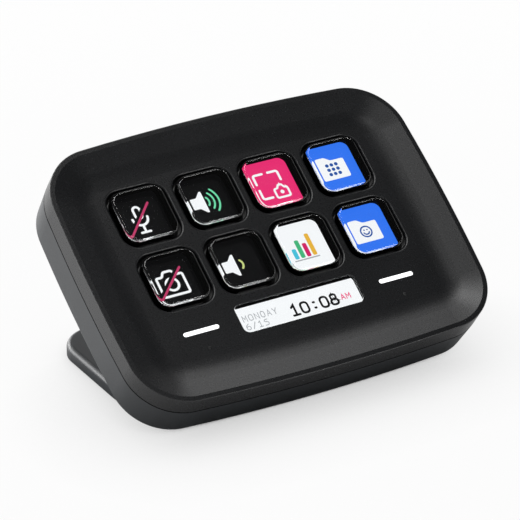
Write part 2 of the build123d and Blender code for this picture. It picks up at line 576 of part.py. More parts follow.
def info_window():
    """Clear window with a flange that is bonded under the face."""
    pane = rounded(INFO_WIDTH - 2 * INFO_GAP, INFO_HEIGHT - 2 * INFO_GAP, INFO_RADIUS - INFO_GAP)
    flange = rounded(INFO_WIDTH + 2 * INFO_FLANGE, INFO_HEIGHT + 2 * INFO_FLANGE, INFO_RADIUS)
    window = slab(pane, INFO_FLANGE_BOTTOM, -INFO_RECESS)
    window = fillet(window.edges().group_by(Axis.Z)[-1], INFO_EDGE_ROUND)
    window += slab(flange, INFO_FLANGE_BOTTOM, FACE_UNDER - SEAT_GAP)
    return Pos(0, INFO_Y, 0) * window


def info_display():
    module = Rectangle(INFO_DISPLAY_WIDTH, INFO_DISPLAY_HEIGHT)
    return slab(Pos(0, INFO_Y, 0) * module, INFO_DISPLAY_BOTTOM, INFO_DISPLAY_TOP)


# ================================================================ touch bars
def touch_light_bar():
    bar = SlotOverall(TOUCH_LENGTH - 2 * TOUCH_GAP, TOUCH_BAR_HEIGHT - 2 * TOUCH_GAP)
    flange = SlotOverall(TOUCH_LENGTH + 2 * TOUCH_FLANGE, TOUCH_BAR_HEIGHT + 2 * TOUCH_FLANGE)
    return slab(bar, TOUCH_FLANGE_BOTTOM, 0) + slab(flange, TOUCH_FLANGE_BOTTOM, FACE_UNDER - SEAT_GAP)


def touch_board():
    board = slab(Rectangle(TOUCH_BOARD_LENGTH, TOUCH_BOARD_HEIGHT), TOUCH_BOARD_BOTTOM, TOUCH_BOARD_TOP)
    hole = rod(TOUCH_POST_RADIUS + TOUCH_POST_CLEARANCE, TOUCH_BOARD_BOTTOM, TOUCH_BOARD_TOP)
    return board - at_each([(-TOUCH_POST_X, 0), (TOUCH_POST_X, 0)], hole)


def touch_leds():
    led = slab(Rectangle(LED_LENGTH, LED_HEIGHT), TOUCH_BOARD_TOP, TOUCH_FLANGE_BOTTOM)
    places = [
        (x + (index - (LED_COUNT - 1) / 2) * LED_PITCH, y)
        for x, y in TOUCH_PLACES.values()
        for index in range(LED_COUNT)
    ]
    return Compound(children=at_each(places, led))


# ================================================================ inner frame
def inner_frame():
    """Plate that presses the displays up against the front shell."""
    height = FRAME_TOP_Y - FRAME_BOTTOM_Y
    middle = (FRAME_TOP_Y + FRAME_BOTTOM_Y) / 2
    plate = Pos(0, middle, 0) * rounded(FRAME_WIDTH, height, FRAME_CORNER)
    arm_inner = FRAME_WIDTH / 2 - FRAME_CORNER
    arm = Rectangle(FRAME_EAR_X - arm_inner, 2 * FRAME_EAR_RADIUS)
    for sx in (-1, 1):
        for sy in (-1, 1):
            plate += Pos(sx * (FRAME_EAR_X + arm_inner) / 2, sy * FRAME_EAR_Y) * arm
            plate += Pos(sx * FRAME_EAR_X, sy * FRAME_EAR_Y) * Circle(FRAME_EAR_RADIUS)
    slot_low = FRAME_BOTTOM_Y + RIBBON_STANDOFF + FRAME_CORNER
    slot_high = TOUCH_DROP_Y + RIBBON_STANDOFF
    slot = Rectangle(TOUCH_BOARD_LENGTH + 2 * FRAME_SLOT_MARGIN, slot_high - slot_low)
    for x, _ in TOUCH_PLACES.values():
        plate -= Pos(x, (slot_low + slot_high) / 2) * slot
    frame = slab(plate, FRAME_BOTTOM, FRAME_TOP)
    seat = rounded(INFO_DISPLAY_WIDTH, INFO_DISPLAY_HEIGHT, FRAME_CORNER / 2)
    frame += slab(Pos(0, INFO_Y, 0) * seat, FRAME_BOTTOM, INFO_DISPLAY_BOTTOM)
    return frame - at_each(FRAME_SCREW_PLACES, rod(HOLE_RADIUS, FRAME_BOTTOM, FRAME_TOP))


# ================================================================ electronics
def main_board():
    height = BOARD_TOP_Y - BOARD_BOTTOM_Y
    plate = Pos(0, (BOARD_TOP_Y + BOARD_BOTTOM_Y) / 2) * rounded(BOARD_WIDTH, height, BOARD_CORNER)
    board = slab(plate, BOARD_BOTTOM, BOARD_TOP)
    return board - at_each(BOARD_SCREW_PLACES, rod(HOLE_RADIUS, BOARD_BOTTOM, BOARD_TOP))


def controller_chip():
    return Pos(0, KEY_FIELD_Y) * slab(
        Rectangle(CONTROLLER_SIZE, CONTROLLER_SIZE), BOARD_TOP, BOARD_TOP + CONTROLLER_HEIGHT)


def memory_chip():
    return Pos(2 * CONTROLLER_SIZE, KEY_FIELD_Y) * slab(
        Rectangle(MEMORY_WIDTH, MEMORY_HEIGHT), BOARD_TOP, BOARD_TOP + MEMORY_THICKNESS)


def passives():
    part = slab(Rectangle(PASSIVE_LENGTH, PASSIVE_WIDTH), BOARD_TOP, BOARD_TOP + PASSIVE_WIDTH)
    places = [
        (-2 * CONTROLLER_SIZE, KEY_FIELD_Y + (index - (PASSIVE_COUNT - 1) / 2) * PASSIVE_PITCH)
        for index in range(PASSIVE_COUNT)
    ]
    return Compound(children=at_each(places, part))


def ribbon_sockets():
    def socket(x, y_low, ribbon_width):
        body = Rectangle(ribbon_width + 2 * SOCKET_SIDE_WALL, SOCKET_DEPTH)
        return Pos(x, y_low + SOCKET_DEPTH / 2) * slab(body, BOARD_TOP, BOARD_TOP + SOCKET_HEIGHT)

    sockets = [
        socket(0, UPPER_SOCKET_Y - SOCKET_DEPTH, LCD_RIBBON_WIDTH),
        socket(0, LOWER_SOCKET_Y, INFO_RIBBON_WIDTH),
    ]
    sockets += [socket(x, LOWER_SOCKET_Y, TOUCH_RIBBON_WIDTH) for x, _ in TOUCH_PLACES.values()]
    return Compound(children=sockets)


def display_ribbon():
    start_z = (GLASS_BOTTOM + FRAME_TOP) / 2
    start_y = KEY_FIELD_Y + GLASS_HEIGHT / 2 - BACKLIGHT_MARGIN
    turn_y = FRAME_TOP_Y + RIBBON_STANDOFF
    path = [(start_y, start_z), (turn_y, start_z), (turn_y, RIBBON_Z), (UPPER_SOCKET_Y, RIBBON_Z)]
    return ribbon(path, LCD_RIBBON_WIDTH, 0)


def info_ribbon():
    start_z = (INFO_DISPLAY_TOP + INFO_DISPLAY_BOTTOM) / 2
    turn_y = FRAME_BOTTOM_Y - RIBBON_STANDOFF
    path = [(INFO_Y - INFO_DISPLAY_HEIGHT / 2, start_z), (turn_y, start_z), (turn_y, RIBBON_Z),
            (LOWER_SOCKET_Y, RIBBON_Z)]
    return ribbon(path, INFO_RIBBON_WIDTH, 0)


def touch_ribbon(x):
    start_z = TOUCH_BOARD_BOTTOM - RIBBON_THICKNESS / 2
    turn_y = TOUCH_DROP_Y
    path = [(TOUCH_Y, start_z), (turn_y, start_z), (turn_y, RIBBON_Z), (LOWER_SOCKET_Y, RIBBON_Z)]
    return ribbon(path, TOUCH_RIBBON_WIDTH, x)


def usb_shell():
    mouth = BODY_HEIGHT / 2 - USB_MOUTH_SINK
    back = mouth - USB_LENGTH
    shell = socket_hole(USB_WIDTH, USB_HEIGHT, back, mouth)
    return shell - socket_hole(USB_WIDTH - 2 * USB_WALL, USB_HEIGHT - 2 * USB_WALL, back, mouth)


def usb_tongue():
    mouth = BODY_HEIGHT / 2 - USB_MOUTH_SINK
    back = mouth - USB_LENGTH
    base = socket_hole(USB_WIDTH - 2 * USB_WALL, USB_HEIGHT - 2 * USB_WALL, back, back + USB_BASE_DEPTH)
    start = Plane(origin=(0, back, USB_Z), x_dir=(1, 0, 0), z_dir=(0, 1, 0))
    blade = start * Rectangle(USB_TONGUE_WIDTH, USB_TONGUE_THICKNESS)
    return base + extrude(blade, USB_LENGTH - USB_TONGUE_SINK)


# ================================================================ stand
def foot_plan(inset):
    width = FOOT_WIDTH - 2 * inset
    depth = FOOT_DEPTH - 2 * inset
    plan = Rectangle(width, depth)
    rear = plan.vertices().filter_by_position(Axis.Y, 0, depth)
    plan = fillet(rear, FOOT_REAR_RADIUS - inset)
    front = plan.vertices().group_by(Axis.Y)[0]
    return fillet(front, FOOT_FRONT_RADIUS - inset)


def neck_solid(inset, floor_z):
    """Wedge between the foot's top and the body's back, with a concave rear face."""
    radius = NECK_BLEND + inset
    top_end = (NECK_ROUND_Y, FOOT_TOP - inset)
    half_chord = math.sqrt(radius ** 2 - (NECK_BLEND - inset) ** 2)
    back_end = desk_point(NECK_ROUND_PANEL_Y - half_chord, BACK_Z - inset)
    back_angle = math.atan2(back_end[1] - NECK_ROUND_Z, back_end[0] - NECK_ROUND_Y)
    middle_angle = (3 * math.pi / 2 + back_angle % (2 * math.pi)) / 2
    arc_middle = (
        NECK_ROUND_Y + radius * math.cos(middle_angle),
        NECK_ROUND_Z + radius * math.sin(middle_angle),
    )
    front = desk_point(panel_y_at(floor_z, BACK_Z - inset), BACK_Z - inset)
    outline = ThreePointArc(top_end, arc_middle, back_end)
    outline += Polyline(back_end, front, (NECK_ROUND_Y, floor_z), top_end)
    half = NECK_WIDTH / 2 - inset
    return extrude(make_face(Plane.YZ * outline), half, both=True)


def body_back_space():
    """Everything in front of the body's back plane, in the desk frame."""
    upwards = (Align.CENTER, Align.CENTER, Align.MIN)
    block = Box(2 * BODY_WIDTH, 2 * BODY_HEIGHT, BODY_HEIGHT, align=upwards)
    return to_desk(Pos(0, 0, BACK_Z) * block)


def stand_shell():
    plate = slab(foot_plan(0), FOOT_SKIRT, FOOT_TOP)
    plate = fillet(plate.edges().group_by(Axis.Z)[-1], FOOT_EDGE_RADIUS)
    stand = plate - body_back_space() + neck_solid(0, FOOT_SKIRT)
    stand = stand & slab(foot_plan(0), FOOT_SKIRT, PANEL_RAISE)
    stand -= slab(foot_plan(FOOT_WALL), FOOT_SKIRT, FOOT_TOP - FOOT_SKIN)
    cavity = neck_solid(NECK_WALL, FOOT_SKIRT) & slab(foot_plan(FOOT_WALL), FOOT_SKIRT, PANEL_RAISE)
    stand -= cavity
    hole_end = PAD_THICKNESS + HEAD_HEIGHT + BALLAST_SCREW_LENGTH + TIP_ROOM
    for x, y in BALLAST_SCREW_PLACES:
        boss = Pos(x, y) * rod(BOSS_RADIUS, BALLAST_TOP, PANEL_RAISE)
        stand += boss & neck_solid(NECK_WALL / 2, FOOT_SKIRT)
        stand -= Pos(x, y) * rod(THREAD_RADIUS, BALLAST_TOP, hole_end)
    for x, y in STAND_SCREW_PLACES:
        stand -= to_desk(Pos(x, y) * rod(HOLE_RADIUS, BACK_Z - NECK_WALL, BACK_Z))
    return stand


def ballast_plate():
    plate = slab(foot_plan(FOOT_WALL + BALLAST_CLEARANCE), PAD_THICKNESS, BALLAST_TOP)
    plate -= at_each(BALLAST_SCREW_PLACES, rod(HOLE_RADIUS, PAD_THICKNESS, BALLAST_TOP))
    head_room = rod(HEAD_RADIUS + BALLAST_HEAD_CLEARANCE, PAD_THICKNESS, PAD_THICKNESS + HEAD_HEIGHT)
    return plate - at_each(BALLAST_SCREW_PLACES, head_room)


def desk_pad():
    return slab(foot_plan(PAD_INSET), 0, PAD_THICKNESS)


# ================================================================ screws
def screws_from_below(places, length, seat_z):
    """Screws driven towards +Z, heads against a seat at seat_z."""
    upside_down = Pos(0, 0, seat_z) * (Rot(180, 0, 0) * screw(length))
    return Compound(children=at_each(places, upside_down))


def board_screws():
    upright = Pos(0, 0, BOARD_TOP) * screw(BOARD_SCREW_LENGTH)
    return Compound(children=at_each(BOARD_SCREW_PLACES, upright))


# ================================================================ assembly
panel_pieces = {
    "front_shell": front_shell(),
    "rear_shell": rear_shell(),
    "key_mat": key_mat(),
    "key_contact_sheet": contact_sheet(),
    "key_display_glass": display_glass(),
    "key_display_backlight": display_backlight(),
    "info_window": info_window(),
    "info_display": info_display(),
    "inner_frame": inner_frame(),
    "touch_leds": touch_leds(),
    "main_board": main_board(),
    "controller_chip": controller_chip(),
    "memory_chip": memory_chip(),
    "board_passives": passives(),
    "ribbon_sockets": ribbon_sockets(),
    "key_display_ribbon": display_ribbon(),
    "info_display_ribbon": info_ribbon(),
    "usb_socket_shell": usb_shell(),
    "usb_socket_tongue": usb_tongue(),
    "case_screws": screws_from_below(CASE_SCREW_PLACES, CASE_SCREW_LENGTH, BACK_Z + CASE_HEAD_SINK),
    "frame_screws": screws_from_below(FRAME_SCREW_PLACES, FRAME_SCREW_LENGTH, FRAME_BOTTOM),
    "board_screws": board_screws(),
    "stand_screws": screws_from_below(STAND_SCREW_PLACES, STAND_SCREW_LENGTH, BACK_Z - NECK_WALL),
}
for number, (x, y) in enumerate(KEY_CENTRES, start=1):
    panel_pieces[f"key_cap_{number}"] = Pos(x, y) * key_cap()
    panel_pieces[f"key_contact_ring_{number}"] = Pos(x, y) * key_contact_ring()
for side, (x, y) in TOUCH_PLACES.items():
    panel_pieces[f"touch_light_bar_{side}"] = Pos(x, y) * touch_light_bar()
    panel_pieces[f"touch_board_{side}"] = Pos(x, y) * touch_board()
    panel_pieces[f"touch_ribbon_{side}"] = touch_ribbon(x)

desk_pieces = {
    "stand_shell": stand_shell(),
    "ballast_plate": ballast_plate(),
    "ballast_screws": screws_from_below(BALLAST_SCREW_PLACES, BALLAST_SCREW_LENGTH,
                                        PAD_THICKNESS + HEAD_HEIGHT),
    "desk_pad": desk_pad(),
}

os.makedirs("parts", exist_ok=True)
for name, piece in panel_pieces.items():
    export_step(to_desk(piece), f"parts/{name}.step")
for name, piece in desk_pieces.items():
    export_step(piece, f"parts/{name}.step")
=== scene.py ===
import json
import math

import bmesh
import bpy
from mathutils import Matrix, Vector


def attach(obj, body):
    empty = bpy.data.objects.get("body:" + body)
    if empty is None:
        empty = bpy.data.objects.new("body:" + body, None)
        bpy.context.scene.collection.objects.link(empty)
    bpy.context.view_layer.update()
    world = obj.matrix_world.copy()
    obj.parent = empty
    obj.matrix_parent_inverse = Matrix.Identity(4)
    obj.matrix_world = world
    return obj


bl_info = {
    "name": "Display Keypad Finisher",
    "version": (1, 0, 0),
    "blender": (4, 5, 0),
    "location": "3D View > Sidebar > Keypad",
    "description": "Gives the angled display keypad its finishes, lit pictures and studio",
    "category": "Object",
}

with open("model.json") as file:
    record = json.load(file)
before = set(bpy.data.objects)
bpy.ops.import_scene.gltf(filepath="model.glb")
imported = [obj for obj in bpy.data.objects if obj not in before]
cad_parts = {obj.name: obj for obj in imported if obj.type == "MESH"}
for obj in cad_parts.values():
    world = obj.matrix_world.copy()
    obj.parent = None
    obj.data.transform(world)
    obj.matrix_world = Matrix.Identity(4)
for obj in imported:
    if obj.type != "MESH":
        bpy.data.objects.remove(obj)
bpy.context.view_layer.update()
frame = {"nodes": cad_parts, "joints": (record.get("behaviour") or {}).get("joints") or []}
NODES = frame["nodes"]
BODY = "keypad_body"
KEY_NUMBERS = range(1, 9)
MM = 0.001

# ------ numbers of the finishes
ACRYLIC_IOR = 1.49
DRIFT_SIZE = 18  # the tone of a moulding drifts over this many millimetres
DRIFT_STOPS = (0.35, 0.65)  # noise values that give the first and the second tone
GRAIN_SPREAD = (0.3, 0.7)  # noise values that give the least and the most roughness
DOT_PITCH = 0.3  # of the lit displays, in millimetres
FLOW_MARK = 6  # width of the flow marks in a clear moulding, in millimetres
FAINT = 0.985  # makes a tone that only just differs
# The parting line lies this deep under the face; painted shade darkens it this far to either
# side.
SEAM_DEPTH = 3.85 * MM
SEAM_SHADE_REACH = 0.2 * MM
# The black on a clear moulding goes by how its surface leans along the panel's axes.
BLACK_WALL_SLANT = 0.5  # the side walls lean less than this in or out
# A key cap's upper and right edges past this lean are black as painted shade.
PAINTED_SHADE_LEAN = 0.35  # a cap's upper and right edges lean more than this up or to the right
BLACK_FACING = 0.5  # a flange faces out, and an underside in, by more than this
BLACK_FLANGE_DEPTH = 0.5 * MM  # the flange lies deeper than this under the face
BLACK_GLOSS = (0.5, 0.0)  # specular level from outside and from inside
# The black frame under a cap leaves this half width and half height clear. Its middle
# lies a little above the key's own, as the picture's does.
FRAME_REACH = (6.5 * MM, 7.05 * MM)
FRAME_RISE = 0.37 * MM

# ------ numbers of the studio
LENS_LENGTH = 240.87  # this and the next in millimetres, as Blender takes them
SENSOR_WIDTH = 36.0
CLIP_DISTANCES = (0.05, 20.0)
CAMERA_PLACE = Vector((-415.13, -701.19, 434.17)) * MM
CAMERA_AIM = Vector((-3.09, -7.96, 30.36)) * MM
WORLD_LEVEL = 0.065
COVE_RINGS = (0.15, 0.4)  # radii of the two rings in the flat floor
COVE_BEND = 0.6  # radius of the bend from floor to wall
COVE_BEND_STEPS = 6
COVE_WALL = 1.5  # height of the wall's upper edge
COVE_SIDES = 64
COVE_DROP = 0.02 * MM  # the paper lies this far under the keypad
# The paper has this share of full white up to the first distance, and all of it from the
# second on. Its shadow reaches this far, and is less deep to the camera than in reflections.
PAPER_SHARE = 0.95
PAPER_DISTANCES = (0.12, 0.4)
SHADOW_REACH = 0.03
SHADOW_DEPTHS = (0.25, 2.3)
# Name, direction from the keypad, distance, width and height in metres, power in watts.
LAMPS = (
    ("softbox_top_left", (-0.071, 0.064, 0.995), 1.1, 0.55, 0.55, 3.6),
    ("softbox_top", (0.243, 0.101, 0.965), 1.1, 0.28, 0.28, 0.9),
    ("softbox_high_right", (0.468, 0.189, 0.863), 1.1, 0.22, 0.22, 0.22),
    ("softbox_over", (0.188, -0.376, 0.907), 1.1, 0.22, 0.22, 0.34),
    ("softbox_back_right", (0.442, 0.421, 0.792), 1.1, 0.26, 0.26, 0.6),
    ("softbox_right_back", (0.761, 0.489, 0.425), 1.1, 0.32, 0.32, 1.4),
    ("softbox_left_back", (-0.35, 0.93, 0.12), 1.0, 0.9, 0.5, 11.0),
    ("softbox_left", (-0.85, 0.5, 0.1), 1.0, 0.5, 0.4, 4.0),
    ("strip_front_right", (0.457, -0.78, 0.38), 1.2, 0.1, 0.75, 1.4),
)

# ------ the panel's own frame
# Across runs to the right, Up runs up the tilted panel, Out leaves it at a right angle.
OUT = -Vector(frame["joints"][0]["axis"]).normalized()
ACROSS = Vector((1.0, 0.0, 0.0))
UP = OUT.cross(ACROSS)
AXES = (ACROSS, UP, OUT)


def node_box(name):
    """Lowest and highest corners of a CAD node along the panel's axes, in metres."""
    points = [vertex.co for vertex in NODES[name].data.vertices]
    spans = [[point.dot(axis) for point in points] for axis in AXES]
    return Vector([min(span) for span in spans]), Vector([max(span) for span in spans])


def node_middle(name):
    """Middle of a CAD node along the panel's axes."""
    low, high = node_box(name)
    return (low + high) / 2


FACE_LEVEL = node_box("touch_light_bar_left")[1].z
FACE_MIDDLE = node_middle("front_shell").y


def place(u, v, w):
    """Point of the scene for a place on the panel, in millimetres from its middle."""
    return ACROSS * (u * MM) + UP * (v * MM + FACE_MIDDLE) + OUT * (w * MM + FACE_LEVEL)


def panel_place(name):
    """Middle of a CAD node on the panel and its highest level, in millimetres."""
    middle, top = node_middle(name), node_box(name)[1]
    return middle.x / MM, (middle.y - FACE_MIDDLE) / MM, (top.z - FACE_LEVEL) / MM


# ------ small helpers
def linear(hex_value):
    """Turns an sRGB hex colour into the linear numbers that a shader takes."""
    channels = [int(hex_value[i:i + 2], 16) / 255 for i in (0, 2, 4)]
    return [c / 12.92 if c <= 0.04045 else ((c + 0.055) / 1.055) ** 2.4 for c in channels]


def opaque(colour):
    """The same colour with full alpha."""
    return (*colour, 1.0)


def toned(colour, share):
    """The same colour, lighter or darker."""
    return [channel * share for channel in colour]


def add_node(tree, kind, inputs=None, links=None, **settings):
    """Adds one node with its settings, its fixed inputs and its incoming links. A link comes
    from a socket, or from a node by its first output."""
    node = tree.nodes.new(kind)
    for name, value in settings.items():
        setattr(node, name, value)
    for name, value in (inputs or {}).items():
        node.inputs[name].default_value = value
    for name, source in (links or {}).items():
        tree.links.new(getattr(source, "outputs", (source,))[0], node.inputs[name])
    return node


def start_material(name):
    """Empty node material with object coordinates, as (material, tree, coordinates)."""
    material = bpy.data.materials.new(name)
    material.use_nodes = True
    tree = material.node_tree
    tree.nodes.clear()
    coordinates = add_node(tree, "ShaderNodeTexCoord").outputs["Object"]
    return material, tree, coordinates


def finish_material(tree, shader):
    """Sends the shader to the material's output."""
    add_node(tree, "ShaderNodeOutputMaterial", links={"Surface": shader})


def uneven(tree, coordinates, drift_size, colours, grain_size, roughness):
    """A tone that drifts a little between two colours, and a roughness that follows a finer
    grain, both sizes in millimetres, as (tone, roughness, grain) sockets."""
    drift = add_node(tree, "ShaderNodeTexNoise", inputs={"Scale": 1 / (drift_size * MM)},
                     links={"Vector": coordinates})
    ramp = add_node(tree, "ShaderNodeValToRGB", links={"Fac": drift.outputs["Fac"]})
    for stop, position, colour in zip(ramp.color_ramp.elements, DRIFT_STOPS, colours):
        stop.position = position
        stop.color = opaque(colour)
    fine = add_node(tree, "ShaderNodeTexNoise",
                    inputs={"Scale": 1 / (grain_size * MM), "Detail": 1.0},
                    links={"Vector": coordinates})
    rough = add_node(
        tree, "ShaderNodeMapRange",
        inputs={"From Min": GRAIN_SPREAD[0], "From Max": GRAIN_SPREAD[1],
                "To Min": roughness[0], "To Max": roughness[1]},
        links={"Value": fine.outputs["Fac"]})
    return ramp.outputs["Color"], rough.outputs["Result"], fine.outputs["Fac"]


def dress(material, *names):
    """Gives CAD nodes their finish."""
    for name in names:
        mesh = NODES[name].data
        mesh.materials.clear()
        mesh.materials.append(material)
        for polygon in mesh.polygons:
            polygon.material_index = 0


# ------ flat shapes on the panel
def arc(x, y, radius, start, end, steps=20):
    """Points of an arc, angles in degrees."""
    angles = [math.radians(start + (end - start) * i / steps) for i in range(steps + 1)]
    return [(x + radius * math.cos(a), y + radius * math.sin(a)) for a in angles]


def circle(x, y, radius, steps=28):
    """Points of a whole circle."""
    return arc(x, y, radius, 0, 360, steps)[:-1]


def round_corners(points, radius, closed=True, steps=6):
    """Replaces each corner of a line by a curve that starts at most radius from it."""
    result = []
    count = len(points)
    for i, corner in enumerate(points):
        if not closed and i in (0, count - 1):
            result.append(corner)
            continue
        here = Vector(corner)
        before = Vector(points[i - 1]) - here
        after = Vector(points[(i + 1) % count]) - here
        start = here + before.normalized() * min(radius, before.length / 2)
        end = here + after.normalized() * min(radius, after.length / 2)
        for step in range(steps + 1):
            t = step / steps
            point = start * (1 - t) ** 2 + here * (2 * t * (1 - t)) + end * t ** 2
            result.append((point.x, point.y))
    return result


def rounded_box(x, y, width, height, radius, steps=8):
    """Outline of a box with round corners, about its middle."""
    corners = []
    for sx, sy, start in ((1, 1, 0), (-1, 1, 90), (-1, -1, 180), (1, -1, 270)):
        cx = x + sx * (width / 2 - radius)
        cy = y + sy * (height / 2 - radius)
        corners += arc(cx, cy, radius, start, start + 90, steps)
    return corners


def side_lines(points, width, closed, sharpest=0.4):
    """The two lines that run half a width to the left and right of a line. A corner counts
    with a cosine of at least sharpest, so that a sharp one doesn't reach out far."""
    count = len(points)
    left, right = [], []
    for i, point in enumerate(points):
        here = Vector(point)
        runs = []
        if closed or i > 0:
            runs.append((here - Vector(points[i - 1])).normalized())
        if closed or i < count - 1:
            runs.append((Vector(points[(i + 1) % count]) - here).normalized())
        onward = (runs[0] + runs[-1]).normalized()
        normal = Vector((-onward.y, onward.x))
        reach = width / 2 / max(sharpest, normal.dot(Vector((-runs[0].y, runs[0].x))))
        left.append(tuple(here + normal * reach))
        right.append(tuple(here - normal * reach))
    return left, right


def add_prism(mesh, outline, low, high, slot):
    """Closed flat solid from an outline, between two levels over the panel."""
    bottom = [mesh.verts.new(place(x, y, low)) for x, y in outline]
    top = [mesh.verts.new(place(x, y, high)) for x, y in outline]
    faces = [mesh.faces.new(top), mesh.faces.new(bottom[::-1])]
    for i in range(len(outline)):
        j = (i + 1) % len(outline)
        faces.append(mesh.faces.new((bottom[i], bottom[j], top[j], top[i])))
    for face in faces:
        face.material_index = slot


def add_band(mesh, outer, inner, low, high, slot):
    """Closed flat ring between two outlines of equally many points."""
    levels = []
    for outline, level in ((outer, low), (outer, high), (inner, high), (inner, low)):
        levels.append([mesh.verts.new(place(x, y, level)) for x, y in outline])
    for first, second in zip(levels, levels[1:] + levels[:1]):
        for i in range(len(outer)):
            j = (i + 1) % len(outer)
            face = mesh.faces.new((first[i], first[j], second[j], second[i]))
            face.material_index = slot


# Layers of a picture, from the display upwards.
GROUND, MARK, OVER, TOP = range(4)


class Picture:
    """Flat lit picture, built up from thin closed solids on one display."""

    def __init__(self, x, y, level, thickness, materials):
        self.mesh = bmesh.new()
        self.x, self.y, self.level, self.thickness = x, y, level, thickness
        self.materials = materials

    def span(self, layer, colour):
        """Lower and upper level of a layer, and the slot of a colour."""
        low, high = (self.level + step * self.thickness for step in (layer, layer + 1))
        return low, high, list(self.materials).index(colour)

    def move(self, points):
        """Points about the picture's middle, moved to its place on the panel."""
        return [(x + self.x, y + self.y) for x, y in points]

    def fill(self, points, layer=MARK, colour="white"):
        """A filled shape."""
        add_prism(self.mesh, self.move(points), *self.span(layer, colour))

    def line(self, points, width, layer=MARK, colour="white", closed=False):
        """A line of even width, round at its ends."""
        left, right = side_lines(points, width, closed)
        if closed:
            add_band(self.mesh, self.move(left), self.move(right), *self.span(layer, colour))
            return
        outline = list(right)
        for end, side in ((points[-1], right[-1]), (points[0], left[0])):
            angle = math.degrees(math.atan2(side[1] - end[1], side[0] - end[0]))
            outline += arc(end[0], end[1], width / 2, angle, angle + 180, steps=8)[1:-1]
            if end is points[-1]:
                outline += left[::-1]
        self.fill(outline, layer, colour)

    def make(self, name):
        """Turns the solids into one piece that rides on the casing."""
        bmesh.ops.recalc_face_normals(self.mesh, faces=self.mesh.faces[:])
        bmesh.ops.triangulate(self.mesh, faces=[f for f in self.mesh.faces if len(f.verts) > 4])
        data = bpy.data.meshes.new(name)
        self.mesh.to_mesh(data)
        self.mesh.free()
        for material in self.materials.values():
            data.materials.append(material)
        piece = bpy.data.objects.new(name, data)
        bpy.context.collection.objects.link(piece)
        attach(piece, BODY)


# ------ sizes and colours
class KeypadColours(bpy.types.PropertyGroup):
    """Colours of the mouldings and of the lit pictures"""
    front_plastic: bpy.props.FloatVectorProperty(
        name="Front plastic", description="Colour of the moulded front half",
        subtype="COLOR", default=linear("151618"), min=0, max=1)
    rear_plastic: bpy.props.FloatVectorProperty(
        name="Rear plastic", description="Colour of the moulded rear half and the stand",
        subtype="COLOR", default=linear("2B2E31"), min=0, max=1)
    clear_plastic: bpy.props.FloatVectorProperty(
        name="Clear plastic", description="Tint of the key caps and of the window",
        subtype="COLOR", default=linear("F7FAFC"), min=0, max=1)
    lit_white: bpy.props.FloatVectorProperty(
        name="Lit white", description="White of the display pictures",
        subtype="COLOR", default=linear("FFFFFF"), min=0, max=1)
    lit_black: bpy.props.FloatVectorProperty(
        name="Lit black", description="Dark parts of the display pictures",
        subtype="COLOR", default=linear("050506"), min=0, max=1)
    lit_pink: bpy.props.FloatVectorProperty(
        name="Lit pink", description="Ground of the pink picture, and the pink lettering",
        subtype="COLOR", default=linear("F03074"), min=0, max=1)
    lit_rose: bpy.props.FloatVectorProperty(
        name="Lit rose", description="Bars across the muted pictures",
        subtype="COLOR", default=linear("C23C68"), min=0, max=1)
    lit_blue: bpy.props.FloatVectorProperty(
        name="Lit blue", description="Ground of the folder pictures",
        subtype="COLOR", default=linear("3478F6"), min=0, max=1)
    lit_deep_blue: bpy.props.FloatVectorProperty(
        name="Lit deep blue", description="Marks on the folders",
        subtype="COLOR", default=linear("2557A6"), min=0, max=1)
    lit_green: bpy.props.FloatVectorProperty(
        name="Lit green", description="Sound waves of the loud picture",
        subtype="COLOR", default=linear("74E0AC"), min=0, max=1)
    lit_lime: bpy.props.FloatVectorProperty(
        name="Lit lime", description="Sound wave of the quiet picture",
        subtype="COLOR", default=linear("CFDA86"), min=0, max=1)
    lit_cyan: bpy.props.FloatVectorProperty(
        name="Lit cyan", description="First bar of the chart",
        subtype="COLOR", default=linear("46C4DE"), min=0, max=1)
    lit_leaf: bpy.props.FloatVectorProperty(
        name="Lit leaf green", description="Second bar of the chart",
        subtype="COLOR", default=linear("45B97C"), min=0, max=1)
    lit_crimson: bpy.props.FloatVectorProperty(
        name="Lit crimson", description="Third bar of the chart",
        subtype="COLOR", default=linear("D81E66"), min=0, max=1)
    lit_amber: bpy.props.FloatVectorProperty(
        name="Lit amber", description="Fourth bar of the chart",
        subtype="COLOR", default=linear("EFB73A"), min=0, max=1)
    lit_grey: bpy.props.FloatVectorProperty(
        name="Lit grey", description="Small lettering, and the line under the chart",
        subtype="COLOR", default=linear("A9ABAE"), min=0, max=1)


